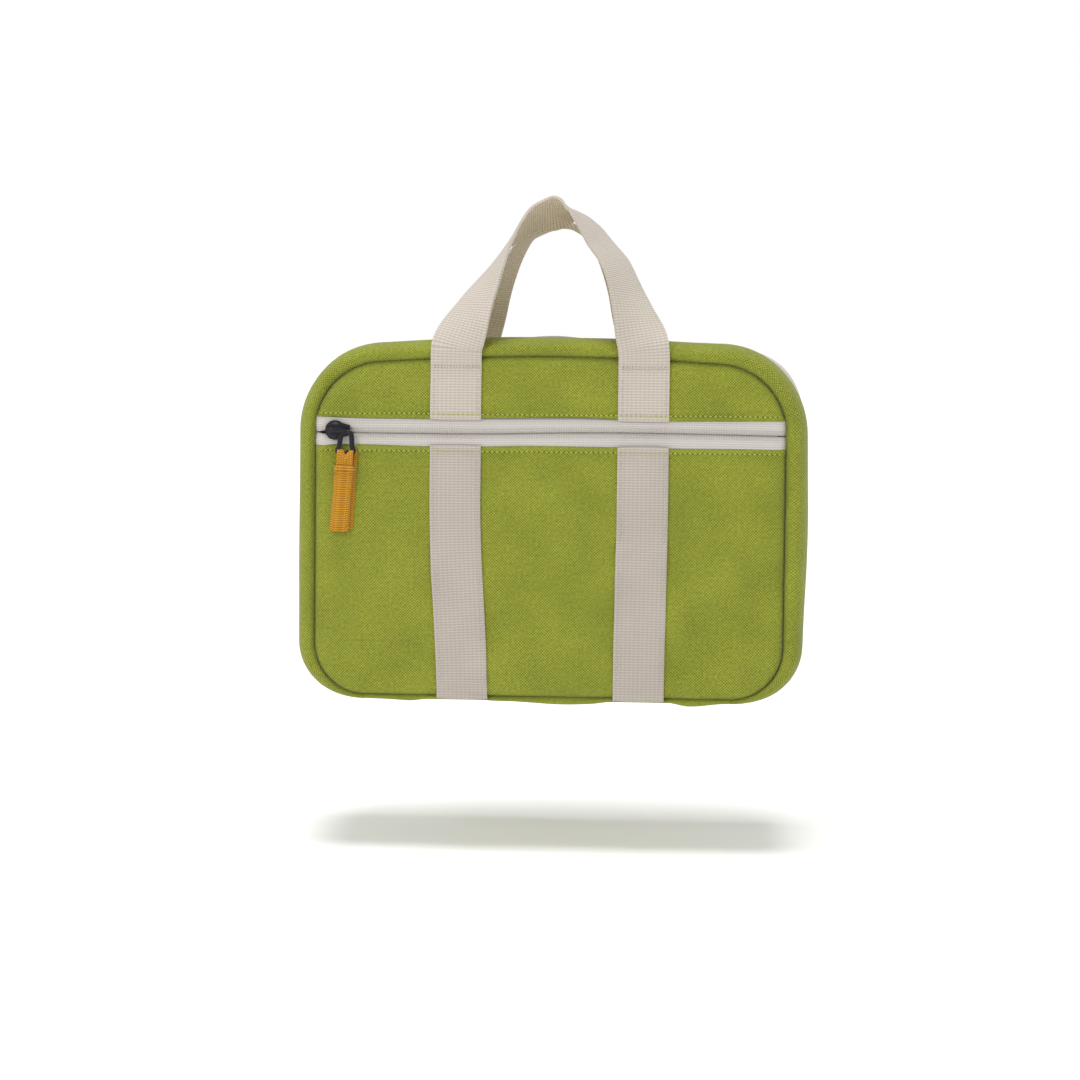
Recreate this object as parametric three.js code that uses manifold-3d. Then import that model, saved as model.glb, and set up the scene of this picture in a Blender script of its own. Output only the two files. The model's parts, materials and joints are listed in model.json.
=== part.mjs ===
// A zipped fabric wash bag with webbing handles: millimetres, +Z up, front towards -Y.
// The front half hangs on the base seam, and opens when the main zip is undone.
import * as THREE from "three";
import { mergeVertices } from "three/addons/utils/BufferGeometryUtils.js";
import Module from "manifold-3d";

const wasm = await Module();
wasm.setup();

// Driving dimensions.
const GAP = 0.3; // between pieces that touch on the real bag
const PANEL_HALF_WIDTH = 116;
const PANEL_HEIGHT = 168;
const HALF_DEPTH = 45;
const TOP_RADIUS = 34;
const BOTTOM_RADIUS = 26;
const CROWN = 3; // rise of the top edge at its middle
const BULGE = 9; // how far the gusset stands out past the panel seam
const FABRIC = 1;
const GUSSET_THICKNESS = 2;
const LINING = 0.6;
const FOAM = 3;
const BOARD = 1.5;
const BOARD_INSET = 3;
const LINING_INSET = 2;
const TAPE = 0.8;
const COIL = 1.4;
const COIL_WIDTH = 2.6;
const STRAP_WIDTH = 25;
const STRAP = 1.5;
const STRAP_X = 46;
const POCKET_Z = 132;
const POCKET_OPENING = 15;
const TAPE_WIDTH = 13.5;
const BAR_TACK_Z = 165;
const HANDLE_TOP = 250;
const MAIN_ZIP_Y = 10;
const MAIN_ZIP_OPENING = 14;
const MAIN_ZIP_RECESS = 1.5;
const ZIP_SLOT = 0.6; // half of the slot between the two zip halves
const SLIDER_LENGTH = 12;
const SLIDER_WIDTH = 9;
const SLIDER_PLATE = 1;
const WIRE = 1;
const LINK_WIDTH = 11;
const LINK_LENGTH = 10;
const TAB_WIDTH = 10;
const TAB_THICKNESS = 2.2;
const TAB_LENGTH = 34;
const TAB_NECK = 6;
const EYE_CLEAR = 0.85; // from the link's bar to the webbing wrapped round it
const EYE_WALL = 0.45;
const JOIN = 0.1; // how far pieces of one solid reach into each other

// Layers, counted from the surface the bag stands on.
const BASE_Z = STRAP + GAP;
const BOARD_Z = BASE_Z + FABRIC + GAP;
const BASE_LINING_Z = BOARD_Z + BOARD + GAP;
const PANEL_TOP = BASE_Z + PANEL_HEIGHT;
const CORNER_X = PANEL_HALF_WIDTH - BOTTOM_RADIUS;

// Layers of the front, counted inwards from its face; the back repeats them without a pocket.
const TAPE_Y = HALF_DEPTH - FABRIC - GAP;
const COIL_Y = TAPE_Y - TAPE - GAP;
const POCKET_SHEET_Y = COIL_Y - COIL - GAP - SLIDER_PLATE - GAP;
const FOAM_Y = POCKET_SHEET_Y - LINING - GAP;
const LINING_Y = FOAM_Y - FOAM - GAP;
const INNER_Y = LINING_Y - LINING - GAP;
const SHEET_INSET = 3;
const GUSSET_Y = TAPE_Y;

const green = { color: 0x96a032, roughness: 0.85, metalness: 0 };
const cream = { color: 0xd6cfc6, roughness: 0.8, metalness: 0 };
const tapeCream = { color: 0xdcd5cf, roughness: 0.75, metalness: 0 };
const liningGrey = { color: 0x8d9199, roughness: 0.7, metalness: 0 };
const foamWhite = { color: 0xe6e4de, roughness: 0.95, metalness: 0 };
const boardGrey = { color: 0x55585c, roughness: 0.6, metalness: 0 };
const orange = { color: 0xcd8719, roughness: 0.8, metalness: 0 };
const darkMetal = { color: 0x1c1d26, roughness: 0.35, metalness: 0.6 };

const bag = new THREE.Group();

function addPiece(name, geometry, finish) {
  const piece = new THREE.Mesh(geometry, new THREE.MeshStandardMaterial(finish));
  piece.name = name;
  bag.add(piece);
  return piece;
}

// A box between two corners.
function block(low, high) {
  const size = high.map((value, axis) => value - low[axis]);
  const centre = high.map((value, axis) => (value + low[axis]) / 2);
  return new THREE.BoxGeometry(...size).translate(...centre);
}

// A box cut into segments and bent: each corner goes where place(u, v, w) says, all from 0 to 1.
function bend(segmentsU, segmentsV, place) {
  const geometry = new THREE.BoxGeometry(1, 1, 1, segmentsU, segmentsV, 1);
  const corners = geometry.getAttribute("position");
  for (let i = 0; i < corners.count; i += 1) {
    const spot = place(corners.getX(i) + 0.5, corners.getY(i) + 0.5, corners.getZ(i) + 0.5);
    corners.setXYZ(i, spot.x, spot.y, spot.z);
  }
  return geometry;
}

// three.js geometry as a solid, and a solid as three.js geometry.
function toSolid(geometry) {
  const bare = geometry.clone();
  bare.deleteAttribute("normal");
  bare.deleteAttribute("uv");
  const merged = mergeVertices(bare, 1e-4);
  const vertProperties = new Float32Array(merged.getAttribute("position").array);
  const triVerts = new Uint32Array(merged.index.array);
  return new wasm.Manifold(new wasm.Mesh({ numProp: 3, vertProperties, triVerts }));
}

function toGeometry(solid) {
  const mesh = solid.getMesh();
  const geometry = new THREE.BufferGeometry();
  geometry.setAttribute("position", new THREE.BufferAttribute(mesh.vertProperties, 3));
  geometry.setIndex(new THREE.BufferAttribute(mesh.triVerts, 1));
  return geometry;
}

const joined = (pieces) => toGeometry(pieces.map(toSolid).reduce((sum, next) => sum.add(next)));
const common = (a, b) => toGeometry(toSolid(a).intersect(toSolid(b)));

// The seam line of a panel, from the left end of the base up, over the top and down again.
function seamPath() {
  const shoulderX = PANEL_HALF_WIDTH - TOP_RADIUS;
  const shoulderZ = PANEL_TOP - CROWN;
  const path = new THREE.Path();
  path.moveTo(-CORNER_X, BASE_Z);
  path.absarc(-CORNER_X, BASE_Z + BOTTOM_RADIUS, BOTTOM_RADIUS, -Math.PI / 2, -Math.PI, true);
  path.lineTo(-PANEL_HALF_WIDTH, shoulderZ - TOP_RADIUS);
  path.absarc(-shoulderX, shoulderZ - TOP_RADIUS, TOP_RADIUS, Math.PI, Math.PI / 2, true);
  path.quadraticCurveTo(0, PANEL_TOP + CROWN, shoulderX, shoulderZ);
  path.absarc(shoulderX, shoulderZ - TOP_RADIUS, TOP_RADIUS, Math.PI / 2, 0, true);
  path.lineTo(PANEL_HALF_WIDTH, BASE_Z + BOTTOM_RADIUS);
  path.absarc(CORNER_X, BASE_Z + BOTTOM_RADIUS, BOTTOM_RADIUS, 0, -Math.PI / 2, true);
  return path;
}

// Stations along the seam: a point, the way out from the bag, and how much the gusset bulges.
const CORNER_STEPS = 5;
const SIDE_STEPS = 3;
const TOP_STEPS = 8;

function seamStations() {
  const stations = [];
  for (const curve of seamPath().curves) {
    const straight = curve instanceof THREE.LineCurve;
    const level = curve instanceof THREE.QuadraticBezierCurve;
    const steps = straight ? SIDE_STEPS : level ? TOP_STEPS : CORNER_STEPS;
    for (let i = stations.length ? 1 : 0; i <= steps; i += 1) {
      const point = curve.getPoint(i / steps);
      const along = curve.getTangent(i / steps);
      const climb = Math.min((point.y - BASE_Z) / BOTTOM_RADIUS, 1);
      stations.push({ x: point.x, z: point.y, outX: -along.y, outZ: along.x, bulge: climb });
    }
  }
  return stations;
}

const stations = seamStations();
const lastStation = stations.length - 1;

// A point off the seam line: out from it by the given distance, at depth y.
function offSeam(station, out, y) {
  const { x, z, outX, outZ } = station;
  return new THREE.Vector3(x + outX * out, y, z + outZ * out);
}

// How far the gusset's outer face stands out at depth y, before it fades at the base.
function swell(y) {
  const reach = 1 - Math.abs(y) / GUSSET_Y;
  return BULGE * (1 - (1 - reach) ** 3);
}

// A strip of the gusset between two depths, its outer face sunk below the gusset's by `sunk`.
function gussetStrip(nearY, farY, sunk, thickness, first = 0, last = lastStation) {
  const count = last - first;
  const acrossSteps = Math.max(1, Math.round((farY - nearY) / 9));
  return bend(count, acrossSteps, (u, v, w) => {
    const station = stations[first + Math.round(u * count)];
    const y = nearY + (farY - nearY) * v;
    const out = station.bulge * swell(y) - sunk - thickness * (1 - w);
    return offSeam(station, out, y);
  });
}

// A flat sheet of the panel's outline, drawn in by `inset`, between two depths.
function panelOutline(inset) {
  const corners = stations.map((station) => offSeam(station, -inset, 0));
  return corners.map((corner) => new THREE.Vector2(corner.x, corner.z));
}

function sheet(inset, nearY, farY, holeInset = null) {
  const shape = new THREE.Shape(panelOutline(inset));
  if (holeInset !== null) shape.holes.push(new THREE.Path(panelOutline(holeInset).reverse()));
  const geometry = new THREE.ExtrudeGeometry(shape, { depth: farY - nearY, bevelEnabled: false });
  return geometry.rotateX(Math.PI / 2).translate(0, farY, 0);
}

// Panels: the front one is cut across by the pocket opening.
const pocketLow = POCKET_Z - POCKET_OPENING / 2;
const pocketHigh = POCKET_Z + POCKET_OPENING / 2;
const wide = 2 * PANEL_HALF_WIDTH;
const frontPanel = sheet(0, -HALF_DEPTH, -HALF_DEPTH + FABRIC);
const above = block([-wide, -wide, pocketHigh], [wide, wide, wide]);
const below = block([-wide, -wide, -wide], [wide, wide, pocketLow]);
addPiece("front_panel_upper", common(frontPanel, above), green);
addPiece("front_panel_lower", common(frontPanel, below), green);
addPiece("back_panel", sheet(0, HALF_DEPTH - FABRIC, HALF_DEPTH), green);

// Sheets behind the panels, and the binding over the seam allowance inside.
const BINDING_INSET = 5;
const BINDING_WIDTH = 2;
const BINDING_DEPTH = 3;

function addInnerSheets(side, name) {
  const layer = (depth, thickness, inset, hole) => {
    const ends = [side * depth, side * (depth - thickness)].sort((a, b) => a - b);
    return sheet(inset, ends[0], ends[1], hole);
  };
  addPiece(`${name}_foam`, layer(FOAM_Y, FOAM, SHEET_INSET), foamWhite);
  addPiece(`${name}_lining`, layer(LINING_Y, LINING, SHEET_INSET), liningGrey);
  const bindingHole = BINDING_INSET + BINDING_WIDTH;
  const binding = layer(INNER_Y, BINDING_DEPTH, BINDING_INSET, bindingHole);
  addPiece(`${name}_seam_binding`, binding, liningGrey);
}

addInnerSheets(-1, "front");
addInnerSheets(1, "rear");
const pocketSheet = sheet(SHEET_INSET, -POCKET_SHEET_Y, -POCKET_SHEET_Y + LINING);
addPiece("pocket_lining", pocketSheet, liningGrey);

// Gusset halves, their linings, and the fabric ends that stop the main zip above the base.
const zipNear = MAIN_ZIP_Y - MAIN_ZIP_OPENING / 2;
const zipFar = MAIN_ZIP_Y + MAIN_ZIP_OPENING / 2;
const liningSunk = GUSSET_THICKNESS + 3 * GAP;
const zipFirst = CORNER_STEPS;
const zipLast = lastStation - CORNER_STEPS;

function addGusset(name, nearY, farY, innerNear, innerFar) {
  addPiece(`${name}_gusset`, gussetStrip(nearY, farY, 0, GUSSET_THICKNESS), green);
  const lining = gussetStrip(innerNear, innerFar, liningSunk, LINING);
  addPiece(`${name}_gusset_lining`, lining, liningGrey);
}

addGusset("front", -GUSSET_Y, zipNear - GAP, -INNER_Y, zipNear - GAP);
addGusset("rear", zipFar + GAP, GUSSET_Y, zipFar + GAP, INNER_Y);

// The zip ends are trimmed just below the last station of the tapes.
const ZIP_END_GAP = 1;
const zipEndTop = BASE_Z + BOTTOM_RADIUS - ZIP_END_GAP;
const underTape = block([-wide, -wide, -wide], [wide, wide, zipEndTop]);

function addZipEnd(name, first, last) {
  const strip = gussetStrip(zipNear, zipFar, 0, GUSSET_THICKNESS, first, last);
  addPiece(name, common(strip, underTape), green);
}

addZipEnd("main_zip_end_left", 0, CORNER_STEPS);
addZipEnd("main_zip_end_right", zipLast, lastStation);

// Main zip: two tapes with their coils, sunk a little below the gusset's face.
function addMainZipHalf(side, name) {
  const inner = MAIN_ZIP_Y + side * ZIP_SLOT;
  const outer = MAIN_ZIP_Y + side * (MAIN_ZIP_OPENING / 2 - GAP);
  const coilOuter = MAIN_ZIP_Y + side * (ZIP_SLOT + COIL_WIDTH);
  const strip = (edge, sunk, thickness) => {
    const ends = [inner, edge].sort((a, b) => a - b);
    return gussetStrip(ends[0], ends[1], sunk, thickness, zipFirst, zipLast);
  };
  addPiece(`main_zip_tape_${name}`, strip(outer, MAIN_ZIP_RECESS, TAPE), tapeCream);
  const coilSunk = MAIN_ZIP_RECESS + TAPE + GAP;
  addPiece(`main_zip_coil_${name}`, strip(coilOuter, coilSunk, COIL), tapeCream);
}

addMainZipHalf(-1, "front");
addMainZipHalf(1, "rear");

// Base: fabric, stiffener board and lining.
const baseY = GUSSET_Y;
const baseX = CORNER_X - GAP;
addPiece("base_panel", block([-baseX, -baseY, BASE_Z], [baseX, baseY, BASE_Z + FABRIC]), green);
const boardX = baseX - BOARD_INSET;
const boardY = INNER_Y - BOARD_INSET;
const board = block([-boardX, -boardY, BOARD_Z], [boardX, boardY, BOARD_Z + BOARD]);
addPiece("base_board", board, boardGrey);
const linedX = baseX - LINING_INSET;
const baseLining = block(
  [-linedX, -INNER_Y, BASE_LINING_Z],
  [linedX, INNER_Y, BASE_LINING_Z + LINING],
);
addPiece("base_lining", baseLining, liningGrey);

// Pocket zip behind the opening.
const zipEndX = PANEL_HALF_WIDTH - SHEET_INSET - GAP;
const STOP_LENGTH = 1.7;
const coilEndX = zipEndX - STOP_LENGTH - 2 * GAP;
const withinPanel = sheet(SHEET_INSET, -HALF_DEPTH, 0);

function addPocketZipHalf(side, name) {
  const bar = (endX, from, to, depth, thickness) => {
    const ends = [POCKET_Z + side * from, POCKET_Z + side * to].sort((a, b) => a - b);
    return block([-endX, -depth, ends[0]], [endX, -depth + thickness, ends[1]]);
  };
  const tape = bar(zipEndX, ZIP_SLOT, ZIP_SLOT + TAPE_WIDTH, TAPE_Y, TAPE);
  addPiece(`pocket_zip_tape_${name}`, common(tape, withinPanel), tapeCream);
  const coil = bar(coilEndX, ZIP_SLOT, ZIP_SLOT + COIL_WIDTH, COIL_Y, COIL);
  addPiece(`pocket_zip_coil_${name}`, coil, tapeCream);
}

addPocketZipHalf(1, "upper");
addPocketZipHalf(-1, "lower");

for (const [side, name] of [[-1, "left"], [1, "right"]]) {
  const ends = [side * (coilEndX + GAP), side * zipEndX].sort((a, b) => a - b);
  const halfHeight = ZIP_SLOT + COIL_WIDTH;
  const stop = block(
    [ends[0], -COIL_Y, POCKET_Z - halfHeight],
    [ends[1], -COIL_Y + COIL, POCKET_Z + halfHeight],
  );
  addPiece(`pocket_zip_stop_${name}`, stop, darkMetal);
}

// Sliders. In a slider's own frame X is the way it travels, Y lies across the zip, Z points out,
// and the tape's outer face is at Z = 0.
const BRIDGE_CLEAR = 1; // from the pull's pivot to the bridge's inner face
const BRIDGE_BAR = 0.8;
const BRIDGE_WIDTH = 2.4;

function sliderGeometry(pivotHeight, bridgeTurn) {
  const plateTop = GAP + SLIDER_PLATE;
  const half = SLIDER_LENGTH / 2;
  const outline = new THREE.Shape();
  outline.moveTo(half, -SLIDER_WIDTH / 3);
  outline.lineTo(half, SLIDER_WIDTH / 3);
  outline.lineTo(-half / 2, SLIDER_WIDTH / 2);
  outline.quadraticCurveTo(-half, SLIDER_WIDTH / 2, -half, 0);
  outline.quadraticCurveTo(-half, -SLIDER_WIDTH / 2, -half / 2, -SLIDER_WIDTH / 2);
  const flat = { depth: SLIDER_PLATE, bevelEnabled: false, curveSegments: 4 };
  const bottomZ = -TAPE - GAP - COIL - GAP - SLIDER_PLATE;
  const topPlate = new THREE.ExtrudeGeometry(outline, flat).translate(0, 0, GAP);
  const bottomPlate = new THREE.ExtrudeGeometry(outline, flat).translate(0, 0, bottomZ);
  const postHalf = ZIP_SLOT / 2;
  const post = block(
    [-half * 0.6, -postHalf, bottomZ + JOIN],
    [half * 0.2, postHalf, plateTop - JOIN],
  );
  const outerHalf = BRIDGE_CLEAR + BRIDGE_BAR;
  const bridgeTop = pivotHeight + outerHalf;
  const arch = new THREE.Shape();
  arch.moveTo(-outerHalf, plateTop - JOIN);
  arch.lineTo(-BRIDGE_CLEAR, plateTop - JOIN);
  arch.lineTo(-BRIDGE_CLEAR, bridgeTop - BRIDGE_BAR);
  arch.lineTo(BRIDGE_CLEAR, bridgeTop - BRIDGE_BAR);
  arch.lineTo(BRIDGE_CLEAR, plateTop - JOIN);
  arch.lineTo(outerHalf, plateTop - JOIN);
  arch.lineTo(outerHalf, bridgeTop);
  arch.lineTo(-outerHalf, bridgeTop);
  const bridge = new THREE.ExtrudeGeometry(arch, { depth: BRIDGE_WIDTH, bevelEnabled: false });
  bridge.translate(0, 0, -BRIDGE_WIDTH / 2).rotateX(Math.PI / 2).rotateZ(bridgeTurn);
  return joined([topPlate, bottomPlate, post, bridge]);
}

// A pull hangs from its pivot: X is the pivot's axis, -Y points out, Z is up.
function rectangle(width, low, high) {
  const shape = new THREE.Shape();
  shape.moveTo(-width / 2, low);
  shape.lineTo(width / 2, low);
  shape.lineTo(width / 2, high);
  shape.lineTo(-width / 2, high);
  return shape;
}

function linkGeometry() {
  const frame = rectangle(LINK_WIDTH, -LINK_LENGTH - WIRE / 2, WIRE / 2);
  frame.holes.push(rectangle(LINK_WIDTH - 2 * WIRE, -LINK_LENGTH + WIRE / 2, -WIRE / 2));
  const ring = new THREE.ExtrudeGeometry(frame, { depth: WIRE, bevelEnabled: false });
  return ring.rotateX(Math.PI / 2).translate(0, WIRE / 2, 0);
}

function tabGeometry() {
  const neckWidth = LINK_WIDTH - 2 * WIRE - 1;
  const eyeHalf = EYE_CLEAR + EYE_WALL;
  const eye = rectangle(2 * eyeHalf, -TAB_NECK, eyeHalf);
  eye.holes.push(rectangle(2 * EYE_CLEAR, -EYE_CLEAR, EYE_CLEAR));
  const neck = new THREE.ExtrudeGeometry(eye, { depth: neckWidth, bevelEnabled: false });
  neck.translate(0, 0, -neckWidth / 2).rotateX(Math.PI / 2).rotateZ(Math.PI / 2);
  const half = TAB_THICKNESS / 2;
  const high = -TAB_NECK + JOIN;
  const sleeve = block([-TAB_WIDTH / 2, -half, high - TAB_LENGTH], [TAB_WIDTH / 2, half, high]);
  return joined([neck, sleeve]);
}

function addPull(name, pivot, turn) {
  const link = addPiece(`${name}_pull_link`, linkGeometry(), darkMetal);
  link.position.copy(pivot);
  link.rotation.z = turn;
  const tab = addPiece(`${name}_pull_tab`, tabGeometry(), orange);
  tab.position.set(pivot.x, pivot.y, pivot.z - LINK_LENGTH);
  tab.rotation.z = turn;
}

const POCKET_PIVOT = 4.5;
const pocketSliderX = -coilEndX + SLIDER_LENGTH / 2 + GAP;
const pocketSlider = addPiece("pocket_slider_body", sliderGeometry(POCKET_PIVOT, Math.PI / 2), darkMetal);
pocketSlider.position.set(pocketSliderX, -TAPE_Y, POCKET_Z);
pocketSlider.rotation.x = Math.PI / 2;
addPull("pocket", new THREE.Vector3(pocketSliderX, -TAPE_Y - POCKET_PIVOT, POCKET_Z), 0);

const MAIN_PIVOT = 3.6;
const MAIN_SLIDER_Z = 62;
const mainFaceX = -PANEL_HALF_WIDTH - swell(MAIN_ZIP_Y) + MAIN_ZIP_RECESS;
const mainSlider = addPiece("main_slider_body", sliderGeometry(MAIN_PIVOT, 0), darkMetal);
mainSlider.position.set(mainFaceX, MAIN_ZIP_Y, MAIN_SLIDER_Z);
mainSlider.rotation.y = -Math.PI / 2;
const mainPivot = new THREE.Vector3(mainFaceX - MAIN_PIVOT, MAIN_ZIP_Y, MAIN_SLIDER_Z);
addPull("main", mainPivot, -Math.PI / 2);

// Webbing sewn to the panels and under the base.
const strapNear = HALF_DEPTH + GAP;
const strapFar = strapNear + STRAP;

function strap(side, centreX, low, high) {
  const ends = [side * strapNear, side * strapFar].sort((a, b) => a - b);
  const half = STRAP_WIDTH / 2;
  return block([centreX - half, ends[0], low], [centreX + half, ends[1], high]);
}

for (const [centreX, name] of [[-STRAP_X, "left"], [STRAP_X, "right"]]) {
  const half = STRAP_WIDTH / 2;
  const strapTop = BAR_TACK_Z - GAP;
  addPiece(`front_strap_upper_${name}`, strap(-1, centreX, pocketHigh, strapTop), cream);
  addPiece(`front_strap_lower_${name}`, strap(-1, centreX, BASE_Z, pocketLow), cream);
  addPiece(`rear_strap_${name}`, strap(1, centreX, BASE_Z, strapTop), cream);
  const under = block([centreX - half, -strapNear, 0], [centreX + half, strapNear, STRAP]);
  addPiece(`base_strap_${name}`, under, cream);
}

// Handles: flat against the panel at the legs, then leaning in and twisting over at the top.
const HANDLE_STEPS = 48;
const HANDLE_BANDS = 4;

function handleGeometry(side, topZ, topY, topTwist) {
  const legY = side * (strapNear + STRAP / 2);
  const rise = topZ - BAR_TACK_Z;
  const lean = topY - legY;
  const spot = (x, share, climb) => {
    return new THREE.Vector3(x, legY + lean * share, BAR_TACK_Z + rise * climb);
  };
  const leg = [
    spot(STRAP_X, 0, 0),
    spot(STRAP_X, 0, 0.07),
    spot(STRAP_X * 0.975, 0.02, 0.17),
    spot(STRAP_X * 0.91, 0.1, 0.34),
    spot(STRAP_X * 0.77, 0.28, 0.48),
    spot(STRAP_X * 0.63, 0.5, 0.64),
    spot(STRAP_X * 0.33, 0.82, 0.87),
    spot(STRAP_X * 0.12, 0.98, 0.98),
  ];
  const mirrored = leg.map((point) => new THREE.Vector3(-point.x, point.y, point.z));
  const apex = spot(0, 1, 1);
  const curve = new THREE.CatmullRomCurve3([...mirrored, apex, ...leg.reverse()]);
  const facing = new THREE.Vector3(0, side, 0);
  return bend(HANDLE_STEPS, HANDLE_BANDS, (u, v, w) => {
    const centre = curve.getPointAt(u);
    const along = curve.getTangentAt(u);
    const near = 1 - Math.abs(2 * u - 1);
    const twist = topTwist * THREE.MathUtils.smoothstep(near, 0.3, 1);
    const out = new THREE.Vector3(-along.z, 0, along.x).normalize();
    const normal = facing.clone().multiplyScalar(Math.cos(twist)).addScaledVector(out, Math.sin(twist));
    const across = new THREE.Vector3().crossVectors(normal, along).normalize();
    normal.crossVectors(along, across);
    centre.addScaledVector(across, STRAP_WIDTH * (v - 0.5));
    return centre.addScaledVector(normal, STRAP * (w - 0.5));
  });
}

const FRONT_TWIST = THREE.MathUtils.degToRad(118);
const REAR_TWIST = THREE.MathUtils.degToRad(75);
const HANDLE_LEAN_Y = 15;
const REAR_HANDLE_DROP = 8;
const topCentre = HANDLE_TOP - STRAP_WIDTH / 4;
addPiece("front_handle", handleGeometry(-1, topCentre, -HANDLE_LEAN_Y, FRONT_TWIST), cream);
const rearTop = topCentre - REAR_HANDLE_DROP;
addPiece("rear_handle", handleGeometry(1, rearTop, HANDLE_LEAN_Y, REAR_TWIST), cream);

// The origin is the middle of the part's own box, on the surface it stands on.
const extent = new THREE.Box3().setFromObject(bag);
const middle = extent.getCenter(new THREE.Vector3());
bag.position.set(-middle.x, -middle.y, -extent.min.z);

export default bag;
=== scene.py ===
import json
import math

import bmesh
import bpy
from mathutils import Matrix, Vector, noise

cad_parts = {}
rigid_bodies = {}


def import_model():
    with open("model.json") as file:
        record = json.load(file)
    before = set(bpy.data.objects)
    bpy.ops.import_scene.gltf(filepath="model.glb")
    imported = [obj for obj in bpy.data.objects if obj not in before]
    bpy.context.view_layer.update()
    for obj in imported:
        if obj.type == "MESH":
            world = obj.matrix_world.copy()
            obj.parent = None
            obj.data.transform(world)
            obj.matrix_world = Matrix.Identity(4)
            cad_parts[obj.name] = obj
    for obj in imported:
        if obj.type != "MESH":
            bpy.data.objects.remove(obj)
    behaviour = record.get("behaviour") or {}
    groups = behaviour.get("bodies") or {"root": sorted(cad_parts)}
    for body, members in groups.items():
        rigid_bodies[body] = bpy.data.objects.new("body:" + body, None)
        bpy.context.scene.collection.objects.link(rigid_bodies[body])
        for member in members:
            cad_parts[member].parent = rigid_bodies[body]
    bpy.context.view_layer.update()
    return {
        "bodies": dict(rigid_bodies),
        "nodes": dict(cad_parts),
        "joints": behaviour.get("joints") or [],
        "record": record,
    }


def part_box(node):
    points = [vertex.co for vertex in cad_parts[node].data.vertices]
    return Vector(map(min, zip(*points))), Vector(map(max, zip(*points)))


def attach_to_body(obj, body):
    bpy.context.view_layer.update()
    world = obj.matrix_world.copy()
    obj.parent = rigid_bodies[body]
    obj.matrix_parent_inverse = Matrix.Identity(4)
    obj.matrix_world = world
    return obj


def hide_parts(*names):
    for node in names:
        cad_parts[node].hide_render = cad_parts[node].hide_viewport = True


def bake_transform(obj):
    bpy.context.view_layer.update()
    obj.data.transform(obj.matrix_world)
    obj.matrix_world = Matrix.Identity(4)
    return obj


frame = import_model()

# Green wash bag: woven panels, cream webbing, a pocket zip in front and a main zip in the gusset.
# Metres, front towards -Y. The CAD frame gives every place.
backLow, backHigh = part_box("back_panel")
lowerLow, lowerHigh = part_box("front_panel_lower")
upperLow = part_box("front_panel_upper")[0]
frontTapeY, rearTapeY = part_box("main_zip_tape_front")[1].y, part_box("main_zip_tape_rear")[0].y
bag = {
    "middleX": (backLow.x + backHigh.x) / 2,
    "halfWidth": (backHigh.x - backLow.x) / 2,
    "bottomZ": backLow.z,
    "topZ": backHigh.z,
    "frontY": lowerLow.y,
    "backY": backHigh.y,
    "zipY": (frontTapeY + rearTapeY) / 2,
    "zipHalf": 0.007,  # half of the gap between the gusset's folded edges
    "topRadius": 0.034,
    "bottomRadius": 0.026,
    "crown": 0.003,
    "clothWall": 0.0009,
}
shoulderZ = bag["topZ"] - bag["crown"]  # height of the panels' top edge at its two ends
halves = ((-1, "front_flap", "front"), (1, "shell", "rear"))  # side, body and name

# camera, light and floor
shot = {
    "azimuth": 3.2, "elevation": 3.0, "roll": 0.58, "distance": 1.222, "lens": 80.0,
    "aimX": -0.0046, "aimZ": 0.0774,
}
studio = {
    "floorZ": -0.0745, "floorTilt": 1.8, "world": 0.62, "sun": 1.9, "sunSpread": 24.0,
    "sunFrom": (-0.03, -0.12, 1.0), "fill": 5.0, "side": 0.8, "lit": (0, 0, 0.08),
}


def addToScene(name, data):
    thing = bpy.data.objects.new(name, data)
    bpy.context.scene.collection.objects.link(thing)
    return thing


def addCamera():
    camera = addToScene("camera", bpy.data.cameras.new("camera"))
    camera.data.lens = shot["lens"]
    camera.data.sensor_width = 36.0
    turn, lift = math.radians(shot["azimuth"]), math.radians(shot["elevation"])
    away = Vector((math.sin(turn) * math.cos(lift), -math.cos(turn) * math.cos(lift), math.sin(lift)))
    aim = Vector((shot["aimX"], 0.0, shot["aimZ"]))
    roll = Matrix.Rotation(math.radians(shot["roll"]), 4, "Z")
    pose = away.to_track_quat("Z", "Y").to_matrix().to_4x4() @ roll
    camera.matrix_world = Matrix.Translation(aim + away * shot["distance"]) @ pose
    bpy.context.scene.camera = camera


def addSoftbox(name, place, size, power):
    light = addToScene(name, bpy.data.lights.new(name, "AREA"))
    light.data.shape = "RECTANGLE"
    light.data.size, light.data.size_y = size
    light.data.energy = power
    light.location = place
    light.rotation_euler = (Vector(place) - Vector(studio["lit"])).to_track_quat("Z", "Y").to_euler()


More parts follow.
